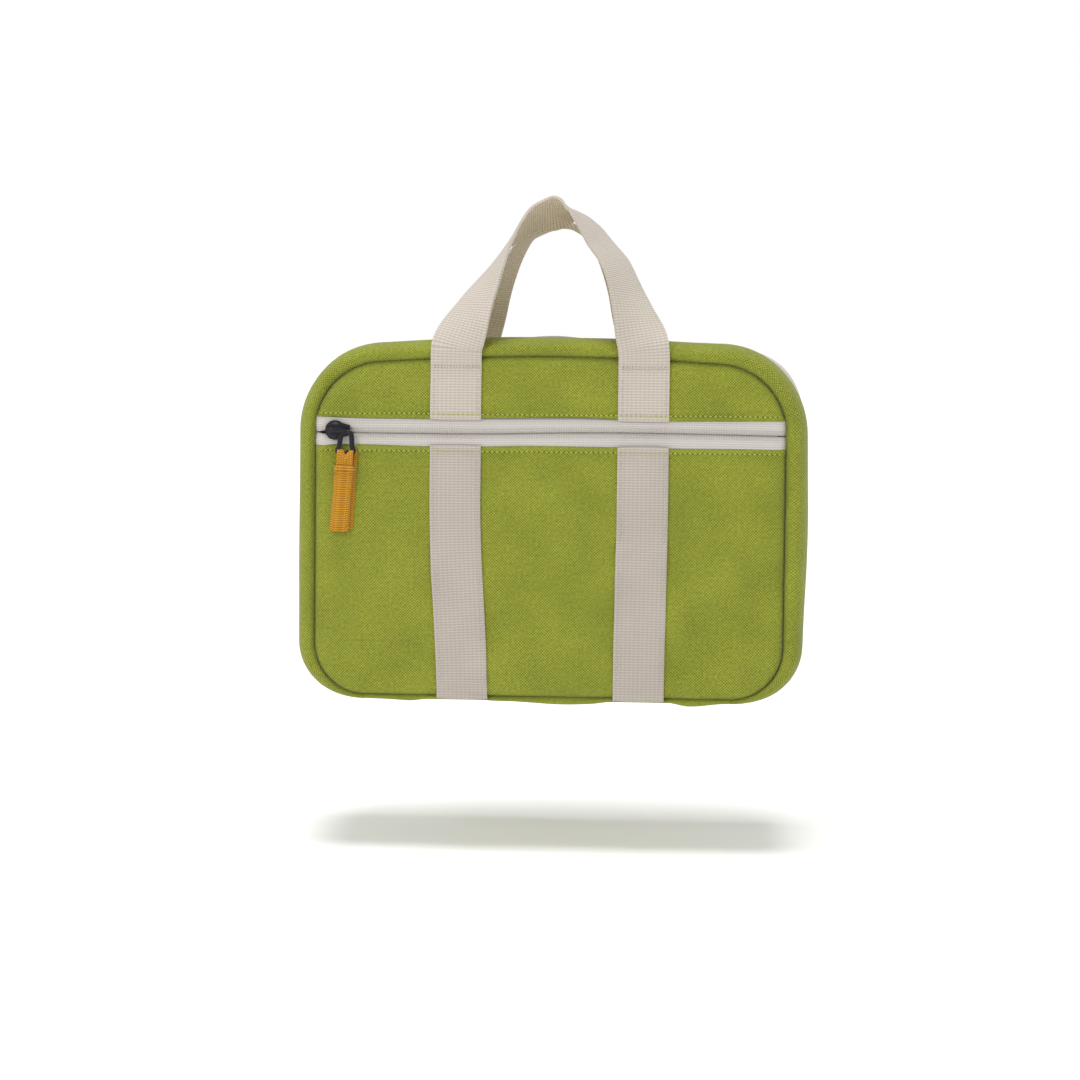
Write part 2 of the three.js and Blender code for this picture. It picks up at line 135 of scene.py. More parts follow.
def addStudio():
    world = bpy.data.worlds.new("studio")
    world.use_nodes = True
    tree = world.node_tree
    tree.nodes["Background"].inputs["Color"].default_value = (1, 1, 1, 1)
    tree.nodes["Background"].inputs["Strength"].default_value = studio["world"]
    # the backdrop itself is seen as plain white
    backdrop = tree.nodes.new("ShaderNodeBackground")
    seen = tree.nodes.new("ShaderNodeLightPath")
    blend = tree.nodes.new("ShaderNodeMixShader")
    tree.links.new(seen.outputs["Is Camera Ray"], blend.inputs[0])
    tree.links.new(tree.nodes["Background"].outputs[0], blend.inputs[1])
    tree.links.new(backdrop.outputs[0], blend.inputs[2])
    backdrop.inputs["Color"].default_value = (1, 1, 1, 1)
    tree.links.new(blend.outputs[0], tree.nodes["World Output"].inputs[0])
    bpy.context.scene.world = world
    bpy.context.scene.view_settings.view_transform = "Standard"
    sun = addToScene("topLight", bpy.data.lights.new("topLight", "SUN"))
    sun.data.energy = studio["sun"]
    sun.data.angle = math.radians(studio["sunSpread"])
    sun.rotation_euler = Vector(studio["sunFrom"]).to_track_quat("Z", "Y").to_euler()
    addSoftbox("leftSoftbox", (-0.8, -1.0, 0.75), (0.5, 0.6), studio["fill"])
    addSoftbox("rightSoftbox", (1.1, -0.7, 0.5), (0.6, 0.8), studio["side"])


def addFloor():
    mesh = bmesh.new()
    bmesh.ops.create_grid(mesh, x_segments=1, y_segments=1, size=30)
    tilt = Matrix.Rotation(math.radians(studio["floorTilt"]), 3, "X")
    bmesh.ops.rotate(mesh, verts=mesh.verts, cent=(0, 0, 0), matrix=tilt)
    bmesh.ops.translate(mesh, verts=mesh.verts, vec=(0, 0, studio["floorZ"]))
    data = bpy.data.meshes.new("floor")
    mesh.to_mesh(data)
    mesh.free()
    material = bpy.data.materials.new("floorPaper")
    material.use_nodes = True
    shader = material.node_tree.nodes["Principled BSDF"]
    shader.inputs["Base Color"].default_value = (1.0, 1.0, 1.0, 1)
    shader.inputs["Roughness"].default_value = 1.0
    shader.inputs["Specular IOR Level"].default_value = 0.0
    data.materials.append(material)
    addToScene("floor", data)


addCamera()
addStudio()
addFloor()
print("camera and light ready")


def smoothStep(value, low=0.0, high=1.0):
    share = min(max((value - low) / (high - low), 0.0), 1.0)
    return share * share * (3 - 2 * share)


def bell(value, centre, width):
    return math.exp(-(((value - centre) / width) ** 2))


def between(rows, share):
    # what lies a share of the way along rows of vectors
    index = share * (len(rows) - 1)
    low = min(int(index), len(rows) - 2)
    return [first.lerp(second, index - low) for first, second in zip(rows[low], rows[low + 1])]


def evenSteps(line, count):
    # spots at even steps along a line of close points, and the line's length
    lengths = [0.0]
    for first, second in zip(line, line[1:]):
        lengths.append(lengths[-1] + (second - first).length)
    spots = []
    leg = 0
    for step in range(count + 1):
        target = lengths[-1] * step / count
        while leg < len(line) - 2 and lengths[leg + 1] < target:
            leg += 1
        share = (target - lengths[leg]) / max(lengths[leg + 1] - lengths[leg], 1e-9)
        spots.append(line[leg].lerp(line[leg + 1], min(share, 1.0)))
    return spots, lengths[-1]


def curveThrough(points, count):
    # even steps of a Catmull-Rom curve through the points
    spots = [Vector(point) for point in points]
    spots = [2 * spots[0] - spots[1]] + spots + [2 * spots[-1] - spots[-2]]
    fine = []
    for before, start, end, after in zip(spots, spots[1:], spots[2:], spots[3:]):
        for step in range(12):
            t = step / 12
            fine.append(
                0.5 * (2 * start + (end - before) * t
                       + (2 * before - 5 * start + 4 * end - after) * t ** 2
                       + (3 * start - before - 3 * end + after) * t ** 3)
            )
    fine.append(spots[-2])
    return evenSteps(fine, count)[0]


# what each woven finish looks like: the pitch of its weave in metres, and its two colours
# the canvas's broad tone patches are strong: partly random tone, partly painted shade standing in for its
# creases
canvasLook = {
    "pitch": 0.00140, "light": (0.330, 0.365, 0.040), "dark": (0.115, 0.130, 0.008), "toneAndShade": 0.27,
    "driftAcross": 0.0011, "driftUp": -0.0009, "relief": 0.55, "reliefDepth": 0.0004,
}
webbingLook = {"pitch": 0.00135, "light": (0.585, 0.530, 0.465), "dark": (0.40, 0.352, 0.298)}
# the lower straps' webbing: the cream webbing made darker, painted shade
shadedLook = {"pitch": 0.00135, "light": (0.505, 0.452, 0.402), "dark": (0.345, 0.302, 0.262)}
# the webbing's inner faces: a warmer, lighter copy of the cream webbing, painted shade and bounce light
innerShadeLook = {"pitch": 0.00135, "light": (0.66, 0.56, 0.43), "dark": (0.46, 0.38, 0.28)}
tapeLook = {"pitch": 0.0011, "light": (0.61, 0.57, 0.54), "dark": (0.45, 0.415, 0.39)}
# where the painted shade under the zip tapes' loops lies, its pitch and colour
tapeLoopShade = {"middle": 0.0012, "half": 0.0010, "pitch": 0.00122, "colour": (0.44, 0.395, 0.36)}
orangeLook = {"pitch": 0.0011, "light": (0.60, 0.29, 0.02), "dark": (0.25, 0.10, 0.004)}
bindingLook = {"pitch": 0.0012, "light": (0.25, 0.26, 0.28), "dark": (0.14, 0.15, 0.165)}
foamLook = {"cells": 1400.0, "light": (0.66, 0.65, 0.60), "dark": (0.42, 0.41, 0.37)}
liningLook = {"pitch": 0.0050, "light": (0.30, 0.31, 0.33), "dark": (0.20, 0.21, 0.23)}


def addNode(material, kind, **settings):
    node = material.node_tree.nodes.new(kind)
    for key, value in settings.items():
        setattr(node, key, value)
    return node


def join(material, output, socket):
    material.node_tree.links.new(output, socket)


def mathNode(material, operation, first, second=None, third=None):
    node = addNode(material, "ShaderNodeMath", operation=operation)
    for socket, value in zip(node.inputs, (first, second, third)):
        if value is None:
            continue
        if isinstance(value, (int, float)):
            socket.default_value = value
        else:
            join(material, value, socket)
    return node.outputs[0]


def startMaterial(name, roughness):
    material = bpy.data.materials.new(name)
    material.use_nodes = True
    shader = material.node_tree.nodes["Principled BSDF"]
    shader.inputs["Roughness"].default_value = roughness
    return material, shader


def fabricPlace(material):
    place = addNode(material, "ShaderNodeUVMap", uv_map="fabric")
    split = addNode(material, "ShaderNodeSeparateXYZ")
    join(material, place.outputs[0], split.inputs[0])
    return place.outputs[0], split.outputs[0], split.outputs[1]


def softNoise(material, place, scale, detail=2.0):
    node = addNode(material, "ShaderNodeTexNoise")
    node.inputs["Scale"].default_value = scale
    node.inputs["Detail"].default_value = detail
    join(material, place, node.inputs["Vector"])
    return node.outputs["Fac"]


def blendColours(material, share, first, second):
    node = addNode(material, "ShaderNodeMix", data_type="RGBA")
    join(material, share, node.inputs["Factor"])
    for socket, value in ((node.inputs["A"], first), (node.inputs["B"], second)):
        if isinstance(value, tuple):
            socket.default_value = (*value, 1)
        else:
            join(material, value, socket)
    return node.outputs["Result"]


def wave(material, along, pitch, turn=0.0):
    scaled = mathNode(material, "MULTIPLY_ADD", along, 2 * math.pi / pitch, turn)
    return mathNode(material, "SINE", scaled)

def clampNode(material, value):
    return mathNode(material, "MINIMUM", mathNode(material, "MAXIMUM", value, 0.0), 1.0)


def objectPlace(material):
    return addNode(material, "ShaderNodeTexCoord").outputs["Object"]


def addRelief(material, shader, height, strength, distance):
    bump = addNode(material, "ShaderNodeBump")
    bump.inputs["Strength"].default_value = strength
    bump.inputs["Distance"].default_value = distance
    join(material, height, bump.inputs["Height"])
    join(material, bump.outputs[0], shader.inputs["Normal"])


def finishFabric(material, shader, height, colour, strength, distance, place, toneAndShade=0.10):
    # broad patches of lighter and darker tone over the weave, on the canvas strong enough to be painted
    # shade standing in for creases, then the weave's relief
    broad = softNoise(material, place, 38.0, 3.0)
    shade = addNode(material, "ShaderNodeHueSaturation")
    value = mathNode(material, "MULTIPLY_ADD", broad, 2 * toneAndShade, 1 - toneAndShade)
    join(material, value, shade.inputs["Value"])
    join(material, colour, shade.inputs["Color"])
    join(material, shade.outputs[0], shader.inputs["Base Color"])
    rough = mathNode(material, "MULTIPLY_ADD", height, -0.12, 0.92)
    join(material, rough, shader.inputs["Roughness"])
    addRelief(material, shader, height, strength, distance)
    shader.inputs["Sheen Weight"].default_value = 0.12
    shader.inputs["Sheen Roughness"].default_value = 0.5
    shader.inputs["Specular IOR Level"].default_value = 0.25


def makeCanvas():
    # coarse basket-like weave: warp and weft knuckles alternate like a chessboard
    look = canvasLook
    material, shader = startMaterial("greenCanvas", 0.85)
    place, across, up = fabricPlace(material)
    stir = softNoise(material, place, 700.0, 2.0)
    wobble = mathNode(material, "MULTIPLY_ADD", stir, 1.7, -0.85)
    # the yarns wander, so the knuckles never line up exactly
    drift = softNoise(material, place, 170.0, 2.0)
    bent = mathNode(material, "MULTIPLY_ADD", drift, look["driftAcross"], across)
    bentUp = mathNode(material, "MULTIPLY_ADD", drift, look["driftUp"], up)
    warp = wave(material, bent, look["pitch"])
    weft = wave(material, bentUp, look["pitch"])
    knuckle = mathNode(material, "MULTIPLY", warp, weft)
    unevenKnuckles = mathNode(material, "ADD", knuckle, wobble)
    height = mathNode(material, "MULTIPLY_ADD", unevenKnuckles, 0.5, 0.5)
    clamped = clampNode(material, height)
    # the weave's hollows take the darker colour: painted shade, on top of the relief
    colour = blendColours(material, clamped, look["dark"], look["light"])
    finishFabric(
        material, shader, clamped, colour, look["relief"], look["reliefDepth"], place, look["toneAndShade"])
    return material


def makeRibbed(name, look, strength, distance, columns=0.0021, toneAndShade=0.07, band=None):
    # ribs across the band, broken up by the columns of the weave
    material, shader = startMaterial(name, 0.85)
    place, across, along = fabricPlace(material)
    stir = softNoise(material, place, 1100.0, 1.0)
    ribs = wave(material, along, look["pitch"])
    cords = wave(material, across, columns)
    mixed = mathNode(material, "MULTIPLY_ADD", cords, 0.35, ribs)
    rough = mathNode(material, "MULTIPLY_ADD", stir, 0.8, -0.4)
    summed = mathNode(material, "ADD", mixed, rough)
    height = mathNode(material, "MULTIPLY_ADD", summed, 0.37, 0.5)
    clamped = clampNode(material, height)
    # the low parts between the ribs take the darker colour: painted shade, on top of the relief
    colour = blendColours(material, clamped, look["dark"], look["light"])
    if band:
        # painted shade on the tape under the loops beside the chain, darkest in the gaps between them
        inside = mathNode(material, "COMPARE", along, band["middle"], band["half"])
        pits = wave(material, across, band["pitch"], 1.2)
        depth = mathNode(material, "MULTIPLY_ADD", pits, 0.25, 0.45)
        shade = mathNode(material, "MULTIPLY", inside, depth)
        colour = blendColours(material, shade, colour, band["colour"])
    finishFabric(material, shader, clamped, colour, strength, distance, place, toneAndShade)
    return material


def gridLine(material, along, pitch):
    ridge = mathNode(material, "ABSOLUTE", wave(material, along, pitch))
    return mathNode(material, "POWER", ridge, 12.0)


def makeLining():
    # coated lining with a ripstop grid
    look = liningLook
    material, shader = startMaterial("greyLining", 0.6)
    place, across, up = fabricPlace(material)
    gridA = gridLine(material, across, look["pitch"])
    gridB = gridLine(material, up, look["pitch"])
    height = mathNode(material, "MAXIMUM", gridA, gridB)
    colour = blendColours(material, height, look["dark"], look["light"])
    finishFabric(material, shader, height, colour, 0.25, 0.0002, place)
    return material


def makeFoam():
    # closed cells, fine as pumice
    material, shader = startMaterial("paleFoam", 0.9)
    cells = addNode(material, "ShaderNodeTexVoronoi")
    cells.inputs["Scale"].default_value = foamLook["cells"]
    join(material, objectPlace(material), cells.inputs["Vector"])
    colour = blendColours(material, cells.outputs["Distance"], foamLook["light"], foamLook["dark"])
    join(material, colour, shader.inputs["Base Color"])
    addRelief(material, shader, cells.outputs["Distance"], 0.3, 0.0003)
    return material


def makeThread(name, colour):
    material, shader = startMaterial(name, 0.7)
    twist = softNoise(material, objectPlace(material), 2600.0, 2.0)
    dark = tuple(part * 0.55 for part in colour)
    mixed = blendColours(material, twist, dark, colour)
    join(material, mixed, shader.inputs["Base Color"])
    addRelief(material, shader, twist, 0.4, 0.0002)
    return material


def makeSliderMetal():
    material, shader = startMaterial("navyCoatedMetal", 0.38)
    wear = softNoise(material, objectPlace(material), 420.0, 4.0)
    colour = blendColours(material, wear, (0.0025, 0.0025, 0.0045), (0.008, 0.008, 0.013))
    join(material, colour, shader.inputs["Base Color"])
    rough = mathNode(material, "MULTIPLY_ADD", wear, 0.25, 0.28)
    join(material, rough, shader.inputs["Roughness"])
    shader.inputs["Specular IOR Level"].default_value = 0.32
    addRelief(material, shader, wear, 0.12, 0.0003)
    return material


finish = {
    "canvas": makeCanvas(),
    "webbing": makeRibbed("creamWebbing", webbingLook, 0.45, 0.0003),
    "webbingShaded": makeRibbed("creamWebbingShaded", shadedLook, 0.45, 0.0003),
    "webbingInnerShade": makeRibbed("creamWebbingInnerShade", innerShadeLook, 0.5, 0.0003),
    "tape": makeRibbed("zipTape", tapeLook, 0.25, 0.0002, 0.0012, 0.04, tapeLoopShade),
    "orange": makeRibbed("orangeWebbing", orangeLook, 0.5, 0.0003, 0.0013),
    "lining": makeLining(),
    "binding": makeRibbed("greyBinding", bindingLook, 0.3, 0.0002, 0.0014, 0.05),
    "foam": makeFoam(),
    "greenThread": makeThread("greenThread", (0.46, 0.52, 0.06)),
    "creamThread": makeThread("creamThread", (0.66, 0.61, 0.54)),
    "orangeThread": makeThread("orangeThread", (0.52, 0.24, 0.02)),
    "coil": makeThread("creamNylon", (0.70, 0.66, 0.61)),
    # dark beads in the needle holes: painted shade
    "holeShade": makeThread("threadHoleShade", (0.085, 0.098, 0.010)),
    "metal": makeSliderMetal(),
}
print("materials ready")


def toObject(name, mesh, material):
    data = bpy.data.meshes.new(name)
    for face in mesh.faces:
        face.smooth = True
    mesh.to_mesh(data)
    mesh.free()
    data.materials.append(material)
    return addToScene(name, data)


def clothGrid(name, grid, place, size, material):
    # a grid of cloth, each corner put where place(across, up) says, with UVs in metres.
    # Without a size the weave runs straight up and across, however the rows are spaced.
    mesh = bmesh.new()
    mesh.loops.layers.uv.new("fabric")
    bmesh.ops.create_grid(mesh, x_segments=grid[0], y_segments=grid[1], size=0.5, calc_uvs=True)
    layer = mesh.loops.layers.uv["fabric"]
    for vert in mesh.verts:
        vert.co = place(vert.co.x + 0.5, vert.co.y + 0.5)
    for face in mesh.faces:
        for loop in face.loops:
            if size:
                loop[layer].uv = (loop[layer].uv.x * size[0], loop[layer].uv.y * size[1])
            else:
                loop[layer].uv = (loop.vert.co.x, loop.vert.co.z)
    return toObject(name, mesh, material)


def thicken(thing, thickness, offset=-1.0, edge=0.0):
    wall = thing.modifiers.new("wall", "SOLIDIFY")
    wall.thickness = thickness
    wall.offset = offset
    wall.use_even_offset = False
    if edge:
        roundEdge = thing.modifiers.new("edge", "BEVEL")
        roundEdge.width = edge
        roundEdge.segments = 2
        roundEdge.limit_method = "ANGLE"
        roundEdge.angle_limit = math.radians(50)
    return thing


# where the cloth bends as the front opens
flapFold = {"low": (0.0, -0.0435, 0.0020), "high": (0.0, -0.0435, 0.0280)}


def attach(thing, body):
    # cloth of the front that reaches down to the base stays in place, unattached; the rest goes with its
    # body
    lowest = min(vert.co.z for vert in thing.data.vertices)
    if body == "front_flap" and lowest < flapFold["high"][2]:
        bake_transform(thing)
    else:
        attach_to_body(thing, body)


def settle(thing, body, slot, *nodes):
    attach(thing, body)
    if nodes:
        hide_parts(*nodes)
    return thing

def sewCloth(name, grid, place, size, look, wall, body, slot, *nodes):
    # one piece of cloth with its wall, on its body
    sheet = clothGrid(name, grid, place, size, finish[look])
    thicken(sheet, wall)
    return settle(sheet, body, slot, *nodes)


# every kind of stitch, the zips' loops and coils too: thread, slot, length, width and height
stitchKinds = {
    "topstitch": ("greenThread", "green_fabric", 0.0015, 0.00036, 0.0003),
    "needleHoleShade": ("holeShade", "green_fabric", 0.0008, 0.00036, 0.0002),
    "barTack": ("creamThread", "cream_webbing", 0.0019, 0.00045, 0.00045),
    "strapEdge": ("creamThread", "cream_webbing", 0.0020, 0.00028, 0.00022),
    "tabSeam": ("orangeThread", "orange_webbing", 0.0014, 0.00028, 0.0002),
    "zipLoop": ("coil", "zip_tape", 0.00092, 0.00034, 0.00026),
    "zipCoil": ("coil", "zip_tape", 0.0030, 0.0005, 0.0006),
}


def sewStitches(name, rows, kind, body):
    # rows of (middle, way along, way out); each stitch is a small long bead
    thread, slot, length, width, height = stitchKinds[kind]
    mesh = bmesh.new()
    bundle = bpy.data.meshes.new("bundle")
    for first in range(0, len(rows), 40):
        part = bmesh.new()
        for middle, along, out in rows[first:first + 40]:
            along = along.normalized()
            wide = out.cross(along).normalized()
            lift = along.cross(wide)
            turn = Matrix((wide * width, lift * height, along * length / 2)).transposed().to_4x4()
            bmesh.ops.create_uvsphere(
                part, u_segments=6, v_segments=5, radius=1, matrix=Matrix.Translation(middle) @ turn)
        part.to_mesh(bundle)
        part.free()
        mesh.from_mesh(bundle)
    bpy.data.meshes.remove(bundle)
    piece = toObject(name, mesh, finish[thread])
    attach(piece, body)
    return piece


def facePlane(side):
    return bag["frontY"] if side < 0 else bag["backY"]


def topEdge(x):
    reach = bag["halfWidth"] - bag["topRadius"]
    share = min(abs(x - bag["middleX"]) / reach, 1.0)
    return bag["topZ"] - bag["crown"] * share ** 2


def seamInset(x, z):
    # how far a point of the panel lies inside the seam
    top = topEdge(x)
    upper = z > (bag["bottomZ"] + bag["topZ"]) / 2
    radius = bag["topRadius"] if upper else bag["bottomRadius"]
    dx = abs(x - bag["middleX"]) - (bag["halfWidth"] - radius)
    dz = z - (top - radius) if upper else bag["bottomZ"] + radius - z
    return radius - math.hypot(max(dx, 0), max(dz, 0)) - min(max(dx, dz), 0)


def halfWidthAt(z):
    if z > shoulderZ - bag["topRadius"]:
        radius, drop = bag["topRadius"], shoulderZ - z
    elif z < bag["bottomZ"] + bag["bottomRadius"]:
        radius, drop = bag["bottomRadius"], z - bag["bottomZ"]
    else:
        return bag["halfWidth"]
    reach = radius ** 2 - (radius - max(drop, 0.0)) ** 2
    return bag["halfWidth"] - radius + math.sqrt(max(reach, 0.0))


panelLoft = {
    "puff": 0.0022, "reach": 0.016, "dip": 0.0036, "dipReach": 0.0010, "zipCalm": 0.45,
    "zipReach": 0.020, "creaseDepth": 3.2, "broadNoise": 0.0021, "fineNoise": 0.00045,
}

# soft creases of the front: start, end, width and height of each fold
frontCreases = [
    ((-0.106, 0.154), (-0.084, 0.146), 0.008, 0.0012),
    ((-0.060, 0.160), (0.020, 0.156), 0.009, -0.0005),
    ((-0.020, 0.118), (0.026, 0.060), 0.010, 0.0010),
    ((0.004, 0.118), (0.040, 0.075), 0.008, -0.0008),
    ((0.064, 0.040), (0.108, 0.070), 0.010, 0.0011),
    ((0.066, 0.018), (0.104, 0.040), 0.008, -0.0008),
    ((0.100, 0.114), (0.114, 0.100), 0.006, 0.0014),
    ((-0.100, 0.030), (-0.066, 0.062), 0.011, 0.0009),
    ((-0.030, 0.012), (0.024, 0.030), 0.010, 0.0009),
    ((0.072, 0.112), (0.102, 0.060), 0.010, -0.0008),
]


def creaseLift(x, z, creases):
    lift = 0.0
    for start, end, width, height in creases:
        a, b = Vector(start), Vector(end)
        along = b - a
        spot = Vector((x - bag["middleX"], z)) - a
        share = min(max(spot.dot(along) / along.length_squared, 0.0), 1.0)
        away = (spot - along * share).length
        lift += panelLoft["creaseDepth"] * height * math.exp(-((away / width) ** 2))
    return lift


def clothNoise(x, z, seed):
    broad = noise.noise(Vector((x * 16, z * 16, seed)))
    fine = noise.noise(Vector((x * 46, z * 46, seed + 7.3)))
    return panelLoft["broadNoise"] * broad + panelLoft["fineNoise"] * fine


def faceDepth(x, z, side, inward=0.0):
    # depth of the front (side -1) or back (side 1) fabric at a point of its panel
    inset = max(seamInset(x, z), 0.0)
    loft = panelLoft
    out = loft["puff"] * (1 - math.exp(-inset / loft["reach"]))
    calm = smoothStep(inset, 0.002, 0.020)
    if side < 0:
        # the pocket zip holds the cloth flat beside it
        away = max(lowerHigh.z - z, z - upperLow.z, 0.0)
        flat = math.exp(-((away / loft["zipReach"]) ** 2))
        out *= 1 - loft["zipCalm"] * flat
        calm *= 1 - 0.8 * flat
        out += smoothStep(inset, 0.0, 0.008) * (1 - 0.8 * flat) * creaseLift(x, z, frontCreases)
    out += calm * clothNoise(x, z, 2.0 + 5 * side)
    out -= loft["dip"] * math.exp(-inset / loft["dipReach"])
    return facePlane(side) + side * (out - inward)


def seamLine(step=0.0015):
    # the panel's seam from the base's left end over the top to its right end, with its outward way
    half, low, rTop, rLow = bag["halfWidth"], bag["bottomZ"], bag["topRadius"], bag["bottomRadius"]
    spots = []

    def arc(centreX, centreZ, radius, start, end):
        count = max(2, round(radius * abs(end - start) / step))
        for index in range(count + 1):
            angle = start + (end - start) * index / count
            spots.append((centreX + radius * math.cos(angle), centreZ + radius * math.sin(angle)))

    quarter = math.pi / 2
    arc(rLow - half, low + rLow, rLow, -quarter, -2 * quarter)
    arc(rTop - half, shoulderZ - rTop, rTop, 2 * quarter, quarter)
    reach = half - rTop
    count = round(2 * reach / step)
    for index in range(1, count):
        x = -reach + 2 * reach * index / count
        spots.append((x, topEdge(x + bag["middleX"])))
    arc(half - rTop, shoulderZ - rTop, rTop, quarter, 0)
    arc(half - rLow, low + rLow, rLow, 0, -quarter)
    line = [Vector((x + bag["middleX"], z)) for x, z in spots]
    ends = [after is None or (spot - after).length > 1e-6 for spot, after in zip(line, line[1:] + [None])]
    return [spot for spot, kept in zip(line, ends) if kept]


def evenSeam(count):
    stations, length = evenSteps([Vector((spot.x, 0, spot.y)) for spot in seamLine()], count)
    result = []
    for index, spot in enumerate(stations):
        along = stations[min(index + 1, count)] - stations[max(index - 1, 0)]
        result.append((spot, Vector((-along.z, 0, along.x)).normalized()))
    return result, length


seamStations, seamLength = evenSeam(380)


def seamSpot(share):
    # a place on the seam and its outward way
    spot, out = between(seamStations, share)
    return spot, out.normalized()


# gusset section from the panel seam towards the zip: depth behind the panel's face, and how far out.
# The first list is its full swell, the second the flat part under the base.
fullSection = [
    (0.0044, -0.0012), (0.0026, -0.0002), (0.0006, 0.0006), (-0.0006, 0.0018), (-0.0009, 0.0034),
    (0.0004, 0.0056), (0.0036, 0.0076), (0.0090, 0.0089), (0.0180, 0.0096), (0.0330, 0.0098),
]
flatSection = [
    (0.0044, -0.0012), (0.0026, -0.0004), (0.0010, 0.0002), (0.0001, 0.0008), (0.0001, 0.0014),
    (0.0010, 0.0018), (0.0040, 0.0018), (0.0100, 0.0014), (0.0200, 0.0010), (0.0330, 0.0008),
]
fullSwell = fullSection[-1][1]


def sectionCurve(points, side):
    zipEdge = bag["zipY"] + side * bag["zipHalf"]
    reach = abs(facePlane(side) - zipEdge)
    kept = [point for point in points if point[0] < reach - 0.004]
    last = kept[-1][1]
    kept += [(reach - 0.0012, last), (reach - 0.0001, last - 0.0006), (reach - 0.0006, last - 0.0016)]
    return curveThrough([Vector((depth, out, 0)) for depth, out in kept], 40)


# rows of (full, flat) places across the gusset, for the front and the rear half
sections = {}
for side in (-1, 1):
    sections[side] = list(zip(sectionCurve(fullSection, side), sectionCurve(flatSection, side)))
swellShares = {"side": 0.95, "right": 0.05, "rightMiddle": 0.25, "top": 0.07}


def swellAt(spot):
    # the gusset swells most at mid height and lies flat at the base
    radius = bag["bottomRadius"]
    rise = min(max((spot.z - bag["bottomZ"]) / radius, 0.0), 1.0)
    fade = smoothStep((math.acos(1 - rise) / (math.pi / 2)) ** 0.75)
    right = smoothStep(spot.x - bag["middleX"], 0.05, 0.11)
    top = smoothStep(spot.z, 0.150, 0.166)
    extra = swellShares["right"] + swellShares["rightMiddle"] * bell(spot.z, 0.098, 0.055)
    return fade * (swellShares["side"] + right * extra + swellShares["top"] * top)


def gussetPoint(stationShare, acrossShare, side, inward=0.0):
    spot, out = seamSpot(stationShare)
    full, flat = between(sections[side], acrossShare)
    swell = swellAt(spot)
    lofted = full * swell + flat * (1 - swell)
    calm = smoothStep(acrossShare, 0.15, 0.5) * smoothStep(1 - acrossShare, 0.0, 0.15)
    rough = noise.noise(Vector((spot.x * 18, spot.z * 18, 3.1 * side + acrossShare * 2)))
    ripple = calm * swell * 0.0008 * rough
    place = spot + out * (lofted.y + ripple - inward)
    place.y = facePlane(side) - side * lofted.x
    return place


# rows of each panel, by its rounded end, and the columns of all
panelRows = {"low": 84, "high": 34, "both": 110, "columns": 150}


def panelPlace(low, high, side, roundEnd, inward=0.0, shrink=0.0):
    # rows crowd towards the rounded ends, so that the corners stay round
    def place(across, up):
        if roundEnd == "both":
            share = 0.5 - 0.5 * math.cos(math.pi * up)
            share = 0.35 * up + 0.65 * share
        elif roundEnd == "low":
            share = up ** 1.6
        else:
            share = 1 - (1 - up) ** 1.6
        z = low + (high - low) * share
        half = halfWidthAt(z) - shrink
        x = bag["middleX"] + (2 * across - 1) * half * (-side)
        z += (topEdge(x) - shoulderZ) * smoothStep(z, bag["topZ"] - 0.05, shoulderZ)
        y = faceDepth(x, z, side, inward)
        if roundEnd != "both":
            # the folded edge beside the zip rolls in, a little wavy
            edge = (high - z) if roundEnd == "low" else (z - low)
            rough = noise.noise(Vector((x * 30, low * 9, 4.0)))
            waver = 0.0004 * math.sin(x * 55 + 1.3) + 0.0005 * rough
            roll = smoothStep(0.0010 - edge, 0.0, 0.0010)
            y += 0.0007 * roll * roll
            y -= 0.0006 * bell(edge, 0.0018, 0.0013)
            y += 0.0004 * bell(edge, 0.0036, 0.0007)
            z += waver * smoothStep(0.012 - edge, 0.0, 0.012)
        return Vector((x, y, z))
    return place


foldEdge = {"lower": lowerHigh.z + 0.0009, "upper": upperLow.z - 0.0011}


def makePanels():
    # the outer rows of each panel end inside the seam
    low, high = bag["bottomZ"], shoulderZ
    for name, body, side, start, end, roundEnd, node in (
        ("frontPanelLower", "front_flap", -1, low, foldEdge["lower"], "low", "front_panel_lower"),
        ("frontPanelUpper", "front_flap", -1, foldEdge["upper"], high, "high", "front_panel_upper"),
        ("backPanel", "shell", 1, low, high, "both", "back_panel"),
    ):
        sewCloth(
            name, (panelRows["columns"], panelRows[roundEnd]), panelPlace(start, end, side, roundEnd),
            None, "canvas", bag["clothWall"], body, "green_fabric", node)


makePanels()
print("panels made")


# the gusset's lining starts and ends inside its folded edges
gussetLining = {"first": 0.28, "span": 0.70, "depth": 0.0030, "wall": 0.0005}


def makeGusset():
    for side, body, name in halves:
        # a turn of the strip keeps its outside outwards on both halves
        def place(along, across, side=side):
            return gussetPoint(along, across if side < 0 else 1 - across, side)

        def linedPlace(along, across, side=side):
            share = gussetLining["first"] + gussetLining["span"] * (across if side < 0 else 1 - across)
            return gussetPoint(along, share, side, inward=gussetLining["depth"])

        sewCloth(
            f"{name}Gusset", (300, 34), place, (seamLength, 0.05), "canvas", bag["clothWall"], body,
            "green_fabric", f"{name}_gusset")
        sewCloth(
            f"{name}GussetLining", (150, 8), linedPlace, (seamLength, 0.04), "lining",
            gussetLining["wall"], body, "lining", f"{name}_gusset_lining")


baseShape = {"sag": 0.0017, "strapEdge": 0.0135, "strapFade": 0.010, "curveSteps": 30}


def besideStraps(x):
    # 0 under a strap, 1 well away from both
    free = 1.0
    edge = baseShape["strapEdge"]
    for side in ("left", "right"):
        low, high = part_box(f"base_strap_{side}")
        free *= smoothStep(abs(x - (low.x + high.x) / 2), edge, edge + baseShape["strapFade"])
    return free


